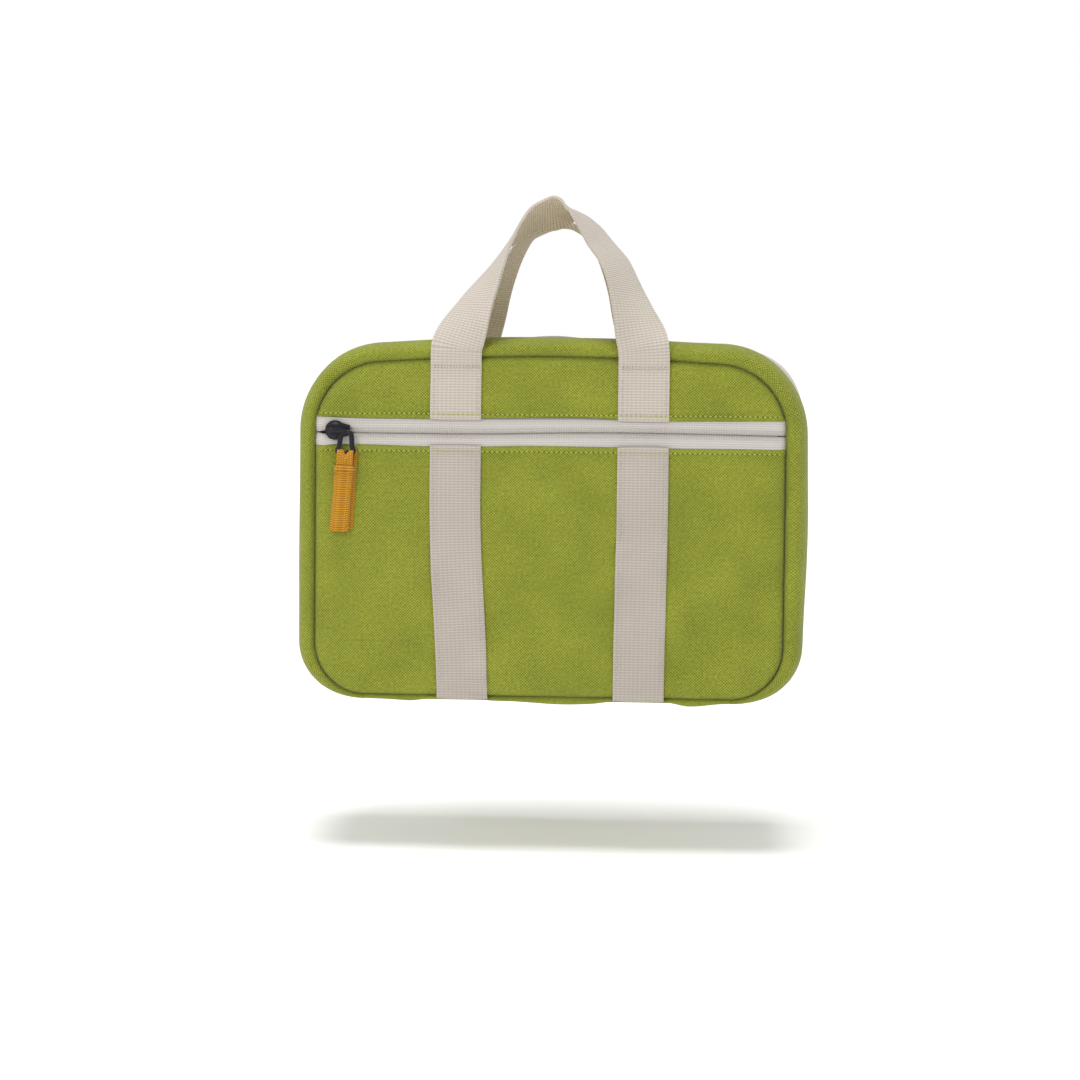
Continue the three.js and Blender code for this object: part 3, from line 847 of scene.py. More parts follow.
def basePoint(across, depthShare):
    # the base runs between the gusset's ends, from the front seam to the back one
    lowX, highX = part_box("base_panel")[0].x - 0.0012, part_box("base_panel")[1].x + 0.0012
    x = lowX + (highX - lowX) * across
    side = -1 if depthShare < 0.5 else 1
    share = 2 * depthShare if side < 0 else 2 - 2 * depthShare
    flat = [row[1] for row in sections[side]]
    steps = baseShape["curveSteps"]
    cut = min(int(share * steps), steps)
    spot = flat[cut].lerp(flat[cut + 1], min(share * steps - cut, 1.0))
    plane = facePlane(side)
    middleY = (bag["frontY"] + bag["backY"]) / 2
    lastY = plane - side * flat[steps].x
    y = plane - side * spot.x + (middleY - lastY) * smoothStep(share, 0.3, 1.0)
    # between the straps the base hangs a little lower, in uneven swells
    swell = 0.62 + 0.38 * math.sin((x - bag["middleX"]) * 105 + 0.7)
    swell *= smoothStep(min(across, 1 - across), 0.0, 0.10)
    sag = baseShape["sag"] * swell * besideStraps(x) * smoothStep(share, 0.02, 0.20)
    return Vector((x, y, bag["bottomZ"] - spot.y - sag + 0.0001))


def makeBase():
    low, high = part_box("base_panel")
    sewCloth(
        "basePanel", (110, 70), lambda across, up: basePoint(across, 1 - up),
        (high.x - low.x, bag["backY"] - bag["frontY"]), "canvas", bag["clothWall"], "shell",
        "green_fabric", "base_panel")
    lineLow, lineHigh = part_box("base_lining")
    size = (lineHigh.x - lineLow.x, lineHigh.y - lineLow.y)

    def linedPlace(across, up):
        x = lineLow.x + size[0] * across
        y = lineLow.y + size[1] * up
        return Vector((x, y, lineHigh.z + 0.0004 * noise.noise(Vector((x * 30, y * 30, 1.0)))))

    sewCloth(
        "baseLining", (60, 30), linedPlace, size, "lining", 0.0006, "shell", "lining", "base_lining",
        "base_board")


# start and end are shares of the seam
mainZip = {"start": 0.085, "end": 0.915, "sunk": 0.0007, "crest": 0.0024, "corner": 0.0040}
coilPitch = 0.0016


def zipOut(spot, arch=1.0):
    # the main zip lies just below the folded edges, and arches up where the top is fullest
    crest = mainZip["crest"] * bell(spot.x, bag["middleX"] - 0.001, 0.020) * smoothStep(spot.z, 0.12, 0.16)
    corner = mainZip["corner"] * bell(spot.x, bag["middleX"] + 0.108, 0.014) * bell(spot.z, 0.156, 0.018)
    return fullSwell * swellAt(spot) - mainZip["sunk"] + (crest + corner) * arch


def makeMainZip():
    centre, half = bag["zipY"], bag["zipHalf"]
    start, end = mainZip["start"], mainZip["end"]
    stretch = seamLength * (end - start)
    for side, body, name in halves:
        def place(along, across, side=side):
            spot, out = seamSpot(start + (end - start) * along)
            share = across if side < 0 else 1 - across
            away = half + 0.0015 - (half + 0.0012) * share
            sunk = 0.0010 * bell(away, half + 0.0012, 0.0022) + 0.0004 * bell(away, 0.0, 0.0008)
            arch = 1 - (away / (half + 0.0015)) ** 2
            place = spot + out * (zipOut(spot, arch) - sunk)
            place.y = centre + side * away
            return place

        sewCloth(
            f"mainZipTape{name.title()}", (260, 10), place, (stretch, half), "tape", 0.0006, body,
            "zip_tape", f"main_zip_tape_{name}")
        teeth = []
        for index in range(int(stretch / coilPitch)):
            # the two rows of teeth stand half a pitch apart
            share = start + (end - start) * (index + 0.25 + 0.25 * side) * coilPitch / stretch
            spot, out = seamSpot(min(max(share, start), end))
            middle = spot + out * (zipOut(spot) - 0.0019)
            middle.y = centre + side * 0.0006
            teeth.append((middle, Vector((0, 1, 0)), out))
        coil = sewStitches(f"mainZipCoil{name.title()}", teeth, "zipCoil", body)
        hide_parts(f"main_zip_coil_{name}")
    for first, last, name in ((0.0, start, "left"), (end, 1.0, "right")):
        def endPlace(along, across, first=first, last=last):
            spot, out = seamSpot(first + (last - first) * along)
            lifted = fullSwell * swellAt(spot) + 0.0008 * (1 - swellAt(spot)) - 0.0010
            place = spot + out * lifted
            place.y = centre + (half + 0.0012) * (2 * across - 1)
            return place

        sewCloth(
            f"mainZipEnd{name.title()}", (30, 10), endPlace, (seamLength * (last - first), 2 * half),
            "canvas", bag["clothWall"], "shell", "green_fabric", f"main_zip_end_{name}")


makeGusset()
makeBase()
makeMainZip()
print("gusset, base and main zip made")


# pocket sheet, foam, linings and the bound seams: depths behind the outside of the cloth.
# The back has no pocket, so its layers lie closer by rearLift.
inside = {
    "shrink": 0.003, "pocket": 0.0054, "foam": 0.0066, "foamThickness": 0.0027, "lining": 0.0098,
    "rearLift": 0.0034, "bindingInset": 0.0062, "bindingWidth": 0.0019, "bindingDepth": 0.0030,
}


def makeInside():
    low, high = bag["bottomZ"] + inside["shrink"], shoulderZ - inside["shrink"]

    def layer(name, side, depth, thickness, look, body, slot, node):
        place = panelPlace(low, high, side, "both", inward=depth, shrink=inside["shrink"])
        return sewCloth(name, (90, 66), place, None, look, thickness, body, slot, node)

    layer("pocketLining", -1, inside["pocket"], 0.0004, "lining", "front_flap", "lining", "pocket_lining")
    for side, body, name in halves:
        lift = inside["rearLift"] if side > 0 else 0.0
        foamDepth, liningDepth = inside["foam"] - lift, inside["lining"] - lift
        foam = layer(
            f"{name}Foam", side, foamDepth, inside["foamThickness"], "foam", body, "foam", f"{name}_foam")
        layer(f"{name}Lining", side, liningDepth, 0.0005, "lining", body, "lining", f"{name}_lining")
        makeBinding(side, body, name)


def makeBinding(side, body, name):
    # a folded tape stands over the seam allowance all the way round
    inset, width, depth = inside["bindingInset"], inside["bindingWidth"], inside["bindingDepth"]
    ring = [(spot - out * inset, out) for spot, out in seamStations[::2]]
    first, last = ring[0][0], ring[-1][0]
    for step in range(1, 60):
        ring.append((last.lerp(first, step / 60), Vector((0, 0, -1))))
    ring.append(ring[0])
    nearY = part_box(f"{name}_seam_binding")[0 if side < 0 else 1].y

    def place(along, around):
        spot, out = between(ring, along)
        angle = math.pi * (around if side < 0 else 1 - around)
        spot = spot + out.normalized() * width / 2 * math.cos(angle)
        spot.y = nearY - side * depth * math.sin(angle) ** 0.5
        return spot

    sewCloth(
        f"{name}SeamBinding", (len(ring) - 1, 12), place, (seamLength + 0.18, 0.008), "binding",
        0.0005, body, "lining", f"{name}_seam_binding")


makeInside()
print("inside made")


# the straps and the handles
webbing = {"width": 0.025, "thickness": 0.0013, "lift": 0.0014, "bow": 0.0003, "edge": 0.0003}
strapMiddles = {}
for strapSide in ("left", "right"):
    strapLow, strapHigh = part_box(f"front_strap_lower_{strapSide}")
    strapMiddles[strapSide] = (strapLow.x + strapHigh.x) / 2
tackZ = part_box("front_strap_upper_left")[1].z

# each handle's middle line from its left root to its right one:
# across from the bag's middle, back from the strap, height over the roots, and its turn in degrees
handleLines = {
    "front": [
        (-0.0459, -0.0012, 0.0060, 0), (-0.0452, -0.0012, 0.0110, 3), (-0.0402, 0.0030, 0.0256, 34),
        (-0.0348, 0.0090, 0.0382, 52), (-0.0295, 0.0150, 0.0492, 68), (-0.0237, 0.0210, 0.0604, 82),
        (-0.0178, 0.0255, 0.0684, 98), (-0.0098, 0.0290, 0.0750, 114), (-0.0006, 0.0308, 0.0776, 126),
        (0.0060, 0.0308, 0.0786, 112), (0.0116, 0.0295, 0.0780, 84), (0.0172, 0.0265, 0.0722, 70),
        (0.0243, 0.0215, 0.0620, 62), (0.0308, 0.0155, 0.0532, 58), (0.0351, 0.0110, 0.0446, 55),
        (0.0390, 0.0062, 0.0341, 46), (0.0425, 0.0016, 0.0230, 30), (0.0452, -0.0012, 0.0118, 4),
        (0.0459, -0.0012, 0.0060, 0),
    ],
    "rear": [
        (-0.0458, 0.0012, 0.0060, 0), (-0.0450, 0.0008, 0.0125, 3), (-0.0408, -0.0050, 0.0255, 24),
        (-0.0340, -0.0125, 0.0400, 56), (-0.0232, -0.0240, 0.0586, 78), (-0.0136, -0.0315, 0.0688, 86),
        (0.0022, -0.0352, 0.0742, 88), (0.0140, -0.0330, 0.0703, 86), (0.0243, -0.0255, 0.0590, 78),
        (0.0340, -0.0150, 0.0420, 54), (0.0405, -0.0060, 0.0250, 24), (0.0450, 0.0008, 0.0120, 3),
        (0.0458, 0.0012, 0.0060, 0),
    ],
}
turnScale = 1e-4  # keeps a key's turn from counting in the curve's length


def bandFrames(keys, count, facing):
    # middle, across and outward ways along a band; facing is -1 on the front and 1 on the back
    spots = curveThrough(keys, count)
    frames = []
    for index, spot in enumerate(spots):
        along = (spots[min(index + 1, count)] - spots[max(index - 1, 0)]).to_3d().normalized()
        if spot.z < tackZ + 0.003:
            left = spot.x < bag["middleX"]
            out = Vector((1 if left == (facing < 0) else -1, 0, 0)).cross(along)
        else:
            turn = math.radians(spot.w / turnScale)
            up = Vector((-along.z, 0, along.x)).normalized()
            out = Vector((0, facing, 0)) * math.cos(turn) + up * math.sin(turn)
        across = along.cross(out).normalized()
        frames.append((spot.to_3d(), across, across.cross(along).normalized()))
    return frames


def bandPlace(frames, facing):
    # the band follows the cloth under it wherever it is sewn down
    def place(across, along):
        middle, wide, out = between(frames, along)
        offset = 2 * across - 1
        spot = middle + wide.normalized() * webbing["width"] / 2 * offset
        spot -= out.normalized() * webbing["bow"] * offset ** 2
        sewn = smoothStep(tackZ - 0.001 - middle.z, 0.0, 0.004) * smoothStep(middle.z, 0.0025, 0.007)
        if sewn and abs(out.y) > 0.5:
            change = faceDepth(spot.x, spot.z, facing) - faceDepth(middle.x, middle.z, facing)
            spot.y += sewn * max(min(change, 0.003), -0.003)
        return spot
    return place


def facePoint(x, z, facing, over=0.0):
    return (x, faceDepth(x, z, facing) + facing * over, z, 0.0)


def strapEnd(x, z, step, facing):
    # the strap's end rolls over the folded edge at the pocket zip
    y = faceDepth(x, z + step * 0.006, facing)
    return [
        (x, y - facing * 0.0010, z + step * 0.0008, 0.0),
        (x, y + facing * 0.0004, z - step * 0.0005, 0.0),
        (x, y + facing * 0.0013, z + step * 0.0012, 0.0),
    ]


def makeBand(name, frames, facing, length, rows, look="webbing"):
    place = bandPlace(frames, facing)
    band = clothGrid(name, (14, rows), place, (webbing["width"], length), finish[look])
    thicken(band, webbing["thickness"], -1.0, webbing["edge"])
    # the inner faces take the inner copy of the webbing: painted shade and bounce light
    band.data.materials.append(finish["webbingInnerShade"])
    band.modifiers["wall"].material_offset = 1
    return band


def bandLength(keys):
    spots = curveThrough(keys, 200)
    return sum((second - first).length for first, second in zip(spots, spots[1:]))


def strapLean(side, z):
    # the left strap drifts inwards towards the base
    lean = 0.0042 if side == "left" else -0.0010
    return lean * (1 - smoothStep(z, 0.0, 0.10))


def makeLowerStraps():
    # one strap a side runs from behind the base, under it and up to the pocket zip
    lift = webbing["lift"]
    for side in ("left", "right"):
        x = strapMiddles[side]
        lean = strapLean(side, 0.0)
        baseLow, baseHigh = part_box(f"base_strap_{side}")
        floorZ = baseLow.z + 0.0001
        firstY, run = baseHigh.y - 0.001, baseHigh.y - baseLow.y - 0.006
        keys = [(x + lean, firstY - run * step / 8, floorZ, 0.0) for step in range(9)]
        frontY = faceDepth(x, 0.008, -1) - lift
        keys += [
            (x + lean, baseLow.y + 0.0015, floorZ + 0.0001, 0.0),
            (x + lean, frontY + 0.0004, floorZ + 0.0016, 0.0),
        ]
        heights = [0.0045, 0.009, 0.015, 0.024, 0.036, 0.050, 0.065, 0.080, 0.095, 0.108, 0.117]
        keys += [facePoint(x + strapLean(side, z), z, -1, lift) for z in heights]
        keys += reversed(strapEnd(x, foldEdge["lower"], -1, -1))
        frames = bandFrames(keys, 260, -1 if side == "left" else 1)
        strap = makeBand(f"{side}LowerStrap", frames, -1, bandLength(keys), 230, "webbingShaded")
        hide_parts(f"front_strap_lower_{side}", f"base_strap_{side}")
        attach(strap, "front_flap")


def handleKeys(name, rootY):
    keys = []
    for across, back, up, turn in handleLines[name]:
        keys.append((bag["middleX"] + across, rootY + back, tackZ + up, turn * turnScale))
    return keys


def makeHandles():
    lift = webbing["lift"]
    left, right = strapMiddles["left"], strapMiddles["right"]
    for facing, body, name in halves:
        rootY = faceDepth(left, tackZ, facing) + facing * lift
        if name == "front":
            heights = [0.1455, 0.150, 0.155, 0.160, 0.1645]
            nodes = ("front_handle", "front_strap_upper_left", "front_strap_upper_right")
        else:
            heights = [0.0024, 0.006, 0.012, 0.020, 0.035, 0.055, 0.075, 0.095, 0.115, 0.135]
            heights += [0.150, 0.160, 0.1645]
            nodes = ("rear_handle", "rear_strap_left", "rear_strap_right")
        leftLeg = [facePoint(left, z, facing, lift) for z in heights]
        rightLeg = [facePoint(right, z, facing, lift) for z in reversed(heights)]
        if name == "front":
            # the front straps end at the pocket zip
            leftLeg = strapEnd(left, foldEdge["upper"], 1, -1) + leftLeg
            rightLeg += reversed(strapEnd(right, foldEdge["upper"], 1, -1))
        keys = leftLeg + handleKeys(name, rootY) + rightLeg
        handle = makeBand(f"{name}Handle", bandFrames(keys, 420, facing), facing, bandLength(keys), 360)
        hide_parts(*nodes)
        foldLow, foldHigh = (bag["middleX"], rootY, tackZ - 0.005), (bag["middleX"], rootY, tackZ + 0.007)
        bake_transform(handle)
        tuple(foldLow)
        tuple(foldHigh)


makeLowerStraps()
makeHandles()
print("straps and handles made")


# sewn rows on the panels and straps
seams = {
    "topstitchGap": 0.0026, "topstitchPitch": 0.0024, "strapEdge": 0.0107, "strapPitch": 0.0030,
    "tackHalf": 0.0108, "tackStitches": 15,
}


def strapCover(x):
    # how far the straps stand over the panel at x: 1 on a strap, 0 beside it
    half = webbing["width"] / 2
    return max(smoothStep(half - abs(x - middle), -0.0004, 0.0006) for middle in strapMiddles.values())


def topstitchRow(z):
    # the needle follows the front's cloth from seam to seam
    reach = bag["halfWidth"] - 0.0035
    first, last = bag["middleX"] - reach, bag["middleX"] + reach
    spots = []
    count = int((last - first) / seams["topstitchPitch"])
    for index in range(count + 1):
        x = first + (last - first) * index / count
        wander = 0.0003 * noise.noise(Vector((x * 60, z * 40, 9.0)))
        lift = 0.0005 + strapCover(x) * (webbing["lift"] - 0.0003)
        y = faceDepth(x, z, -1) - lift
        ahead = faceDepth(x + 0.001, z, -1) - faceDepth(x - 0.001, z, -1)
        spots.append((Vector((x, y, z + wander)), Vector((0.002, ahead, 0.00012)), Vector((0, -1, 0))))
    return spots


def makeTopstitching():
    upper = topstitchRow(foldEdge["upper"] + seams["topstitchGap"])
    lower = topstitchRow(foldEdge["lower"] - seams["topstitchGap"])
    sewStitches("pocketTopstitching", upper + lower, "topstitch", "front_flap")
    # dark beads between the stitches: painted shade in the needle's holes
    holeShadeBeads = []
    for row in (upper, lower):
        for (spot, along, out), (after, _, _) in zip(row, row[1:]):
            if strapCover(spot.x) > 0.02 or strapCover(after.x) > 0.02:
                continue
            holeShadeBeads.append(((spot + after) / 2 + Vector((0, 0.00005, 0)), along, out))
    sewStitches("pocketStitchHoleShade", holeShadeBeads, "needleHoleShade", "front_flap")


def makeBarTacks():
    half, last = seams["tackHalf"], seams["tackStitches"] - 1
    for facing, body, name in halves:
        rows = []
        for x in strapMiddles.values():
            for step in range(last + 1):
                along = -half + 2 * half * step / last
                z = tackZ - 0.0004 + 0.0003 * math.sin(step * 2.1)
                y = faceDepth(x + along, z, facing) + facing * (webbing["lift"] + 0.0001)
                spot = Vector((x + along, y, z))
                rows.append((spot, Vector((0.0004, 0, 0.0015)), Vector((0, facing, 0))))
        sewStitches(f"{name}BarTacks", rows, "barTack", body)


def makeStrapStitching():
    # a row down each edge of the straps
    spans = {
        "front": [(0.010, lowerHigh.z - 0.004), (upperLow.z + 0.004, tackZ - 0.004)],
        "rear": [(0.008, tackZ - 0.004)],
    }
    for facing, body, name in halves:
        rows = []
        for low, high in spans[name]:
            leans = facing < 0 and high < upperLow.z
            count = int((high - low) / seams["strapPitch"])
            for side, middle in strapMiddles.items():
                for edge in (-seams["strapEdge"], seams["strapEdge"]):
                    for index in range(count):
                        z = low + (high - low) * index / count
                        x = middle + edge + (strapLean(side, z) if leans else 0)
                        y = faceDepth(x, z, facing) + facing * webbing["lift"]
                        rows.append((Vector((x, y, z)), Vector((0, 0, 1)), Vector((0, facing, 0))))
        sewStitches(f"{name}StrapStitching", rows, "strapEdge", body)


makeTopstitching()
makeBarTacks()
makeStrapStitching()
print("stitching made")


pocketZip = {
    "low": lowerHigh.z - 0.0016, "high": upperLow.z + 0.0016, "depth": -0.0435, "slit": 0.00022,
    "sway": 0.0006, "loopPitch": 0.00122, "loopRows": (0.0010, 0.0021), "tapeWidth": 0.0085,
    "open": 0.0030,
}


def zipLine(x):
    # the chain wanders a little between the two folded edges
    middle = (pocketZip["low"] + pocketZip["high"]) / 2
    along = x - bag["middleX"]
    return middle + pocketZip["sway"] * math.sin(along * 26 + 0.6) - 0.0004 * bell(along, -0.03, 0.03)


def makePocketZip():
    firstX, lastX = bag["middleX"] - bag["halfWidth"], bag["middleX"] + bag["halfWidth"]
    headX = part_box("pocket_slider_body")[0].x + 0.005
    for side, name in ((1, "upper"), (-1, "lower")):
        def place(across, up, side=side):
            # up runs away from the chain on both tapes, so the lower one is laid from right to left
            x = firstX + (lastX - firstX) * (across if side > 0 else 1 - across)
            edge = pocketZip["high"] if side > 0 else pocketZip["low"]
            parted = pocketZip["open"] * smoothStep(x, firstX + 0.001, headX - 0.001)
            parted *= 1 - smoothStep(x, headX, headX + 0.005)
            start = zipLine(x) + side * (pocketZip["slit"] + parted * 0.5)
            z = start + (edge - start) * up
            rise = 0.0005 * bell(up, 0.42, 0.30) - 0.0007 * bell(up, 0.0, 0.10)
            rise -= 0.0011 * smoothStep(up, 0.70, 0.95)
            rise += 0.00016 * noise.noise(Vector((x * 70, z * 120, 3.0)))
            rise -= 0.12 * parted
            # both ends go down into the seam with the panels
            fromEnd = max(min(x - firstX, lastX - x), 0.0)
            rise -= panelLoft["dip"] * 1.15 * math.exp(-fromEnd / (panelLoft["dipReach"] * 1.5))
            return Vector((x, pocketZip["depth"] - rise, z))

        sewCloth(
            f"pocketZipTape{name.title()}", (380, 14), place, (lastX - firstX, pocketZip["tapeWidth"]),
            "tape", 0.0007, "front_flap", "zip_tape", f"pocket_zip_tape_{name}")
        # two rows of woven-in loops beside the chain
        loops = []
        count = int((lastX - firstX) / pocketZip["loopPitch"])
        for index in range(4, count - 3):
            x = firstX + (lastX - firstX) * (index + 0.5) / count
            along = (x - firstX) / (lastX - firstX)
            for row, away in enumerate(pocketZip["loopRows"]):
                spot = place(along if side > 0 else 1 - along, away / pocketZip["tapeWidth"])
                spot.y -= 0.00012
                loops.append((spot, Vector((0.1 * row, 0, 1)), Vector((0, -1, 0))))
        sewStitches(f"pocketZipLoops{name.title()}", loops, "zipLoop", "front_flap")
        teeth = []
        for index in range(int((lastX - firstX - 0.014) / coilPitch)):
            x = firstX + 0.010 + index * coilPitch + (coilPitch / 2 if side > 0 else 0)
            if x < headX + 0.004:
                continue
            spot = Vector((x, pocketZip["depth"] + 0.0016, zipLine(x) + side * 0.0006))
            teeth.append((spot, Vector((0, 0, 1)), Vector((0, -1, 0))))
        coil = sewStitches(f"pocketZipCoil{name.title()}", teeth, "zipCoil", "front_flap")
        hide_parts(f"pocket_zip_coil_{name}")


makePocketZip()
print("pocket zip made")


# sliders and pulls; front and back are the gaps from the chain's middle to each plate
sliderShape = {
    "length": 0.0124, "width": 0.0098, "plate": 0.0010, "tail": 0.0056, "front": 0.0011,
    "back": 0.0028, "bridge": 0.0026,
}
pullShape = {
    "wire": 0.0026, "flat": 0.0011, "top": 0.0042, "bottom": 0.0080, "height": 0.0108,
    "band": 0.0080, "sleeve": 0.0084, "sleeveDepth": 0.0022,
}
tabLength = {"pocket": 0.0375, "main": 0.024}
pocketPull = {"across": 0.0046, "back": 0.0003, "down": 0.0005, "tilt": 2.8}
mainPull = {"out": 0.0026, "down": 0.0004}


def outlinePlate(mesh, outline, low, high, edge, matrix, segments=2):
    # a plate from its outline, both rims softened
    bottom = [mesh.verts.new(Vector((x, y, low))) for x, y in outline]
    face = mesh.faces.new(bottom)
    grown = bmesh.ops.extrude_face_region(mesh, geom=[face])
    lifted = [item for item in grown["geom"] if isinstance(item, bmesh.types.BMVert)]
    bmesh.ops.translate(mesh, verts=lifted, vec=(0, 0, high - low))
    ours = bottom + lifted
    rims = [rim for rim in mesh.edges if rim.is_valid and rim.verts[0] in ours and rim.verts[1] in ours]
    flat = [rim for rim in rims if abs(rim.verts[0].co.z - rim.verts[1].co.z) < 1e-7]
    done = bmesh.ops.bevel(
        mesh, geom=flat, offset=edge, segments=segments, profile=0.5, affect="EDGES", material=-1)
    corners = {vert for item in done["faces"] for vert in item.verts} | set(bottom) | set(lifted)
    bmesh.ops.transform(mesh, matrix=matrix, verts=[vert for vert in corners if vert.is_valid])


def makeSlider(name, frame):
    # frame: local x along the chain towards the tail, y across it, z outwards
    shape = sliderShape
    mesh = bmesh.new()
    radius, tail, reach = shape["width"] / 2, shape["tail"] / 2, shape["length"] - shape["width"] / 2
    outline = []
    for step in range(25):
        angle = math.radians(48 + 264 * step / 24)
        outline.append((radius * math.cos(angle), radius * math.sin(angle)))
    outline += [(reach - 0.0012, -tail), (reach, -tail + 0.0004)]
    outline += [(reach, tail - 0.0004), (reach - 0.0012, tail)]
    outline = [(x - shape["length"] / 2 + radius, y) for x, y in outline]
    top = shape["front"] + shape["plate"]
    outlinePlate(mesh, outline, shape["front"], top, 0.0003, frame, 3)
    outlinePlate(mesh, outline, -shape["back"] - shape["plate"], -shape["back"], 0.0003, frame, 2)
    # raised rim of the head, the post between the plates, and the bridge that holds the pull
    head = Matrix.Translation((radius - shape["length"] / 2, 0, top + 0.0002))
    bmesh.ops.create_cone(
        mesh, cap_ends=True, segments=28, radius1=radius * 0.86, radius2=radius * 0.60, depth=0.0009,
        matrix=frame @ head)
    middle = (shape["front"] - shape["back"]) / 2
    post = Matrix.Translation((radius * 0.8 - shape["length"] / 2 - 0.0006, 0, middle))
    post @= Matrix.Diagonal((0.0016, 0.0020, shape["front"] + shape["back"] + 0.0006, 1))
    bmesh.ops.create_cube(mesh, size=1, matrix=frame @ post)
    frontX, backX = 0.0012 - shape["length"] / 2, shape["length"] / 2 - 0.0020
    bridge = [
        (frontX, -0.0002), (frontX + 0.0002, shape["bridge"] * 0.55), (frontX + 0.0016, shape["bridge"]),
        (0.0, shape["bridge"] + 0.0002), (backX - 0.0014, shape["bridge"] * 0.92),
        (backX, shape["bridge"] * 0.5), (backX + 0.0002, -0.0002),
    ]
    spots = [(x, 0, top + rise) for x, rise in bridge]
    addBar(mesh, curveThrough(spots, 18), 0.0026, 0.0009, Vector((0, 1, 0)), frame)
    bmesh.ops.recalc_face_normals(mesh, faces=mesh.faces)
    slider = toObject(f"{name}Slider", mesh, finish["metal"])
    soften(slider, 32)
    return settle(slider, f"{name}_slider", "dark_metal", f"{name}_slider_body")


def soften(thing, angle):
    for face in thing.data.polygons:
        face.use_smooth = True
    thing.data.set_sharp_from_angle(angle=math.radians(angle))


def addBar(mesh, spots, width, thickness, wide, matrix, closed=False):
    # a rounded flat bar along spots; wide is the way its broad side runs
    count = len(spots)
    rings = []
    for index, spot in enumerate(spots):
        if closed:
            along = spots[(index + 1) % count] - spots[index - 1]
        else:
            along = spots[min(index + 1, count - 1)] - spots[max(index - 1, 0)]
        along = along.normalized()
        # a closed bar lies flat, its broad side square to the way it runs
        side = along.cross(wide) if closed else wide - along * wide.dot(along)
        side = side.normalized()
        lift = along.cross(side)
        turn = Matrix((side, lift, along)).transposed().to_4x4()
        scale = Matrix.Diagonal((width / 2, thickness / 2, 1, 1))
        place = Matrix.Translation(spot) @ turn @ scale
        ring = bmesh.ops.create_circle(mesh, segments=10, radius=1, matrix=place)
        rings.append(ring["verts"])
    pairs = list(zip(rings, rings[1:])) + ([(rings[-1], rings[0])] if closed else [])
    for first, second in pairs:
        lower = [edge for edge in mesh.edges if edge.verts[0] in first and edge.verts[1] in first]
        upper = [edge for edge in mesh.edges if edge.verts[0] in second and edge.verts[1] in second]
        bmesh.ops.bridge_loops(mesh, edges=lower + upper)
    if not closed:
        bmesh.ops.contextual_create(mesh, geom=rings[0])
        bmesh.ops.contextual_create(mesh, geom=rings[-1])
    every = [vert for ring in rings for vert in ring]
    bmesh.ops.transform(mesh, matrix=matrix, verts=every)


def makeLink(name, frame):
    # frame: local x across the pull, y downwards, z outwards; its origin is the slider's bridge
    shape = pullShape
    top, bottom, height = shape["top"] / 2, shape["bottom"] / 2, shape["height"]
    corners = [
        (0, 0, 0), (top * 0.7, 0.0001, 0), (top, 0.0010, 0), (top + 0.0006, 0.0030, 0),
        (bottom - 0.0008, height * 0.72, 0), (bottom, height - 0.0014, 0),
        (bottom - 0.0010, height - 0.0002, 0), (0, height, 0),
    ]
    right = [Vector(spot) for spot in corners]
    left = [Vector((-spot.x, spot.y, spot.z)) for spot in reversed(right[1:-1])]
    ring = curveThrough(right + left + [right[0]], 54)[:-1]
    mesh = bmesh.new()
    addBar(mesh, ring, shape["wire"], shape["flat"], Vector((0, 0, 1)), frame, closed=True)
    # its top bar is thinner, to turn under the bridge
    flat = frame.inverted()
    for vert in mesh.verts:
        spot = flat @ vert.co
        if spot.y < 0.0014:
            spot.y *= 0.5 + 0.5 * smoothStep(spot.y, 0.0006, 0.0014)
            vert.co = frame @ spot
    bmesh.ops.recalc_face_normals(mesh, faces=mesh.faces)
    link = toObject(f"{name}PullLink", mesh, finish["metal"])
    soften(link, 40)
    return settle(link, f"{name}_link", "dark_metal", f"{name}_pull_link")


def joinPieces(pieces, name):
    # one mesh of several finished sheets, their walls made real first
    merged = bmesh.new()
    merged.loops.layers.uv.new("fabric")
    graph = bpy.context.evaluated_depsgraph_get()
    for piece in pieces:
        graph.update()
        solid = piece.evaluated_get(graph).to_mesh()
        merged.from_mesh(solid)
        piece.evaluated_get(graph).to_mesh_clear()
    material = pieces[0].data.materials[0]
    for piece in pieces:
        bpy.data.objects.remove(piece)
    return toObject(name, merged, material)


def roundedBox(around):
    # the ways across and out of a rounded box's wall, each from -1 to 1
    angle = 2 * math.pi * around
    across = abs(math.cos(angle)) ** 0.35 * math.copysign(1, math.cos(angle))
    out = abs(math.sin(angle)) ** 0.55 * math.copysign(1, math.sin(angle))
    return across, out


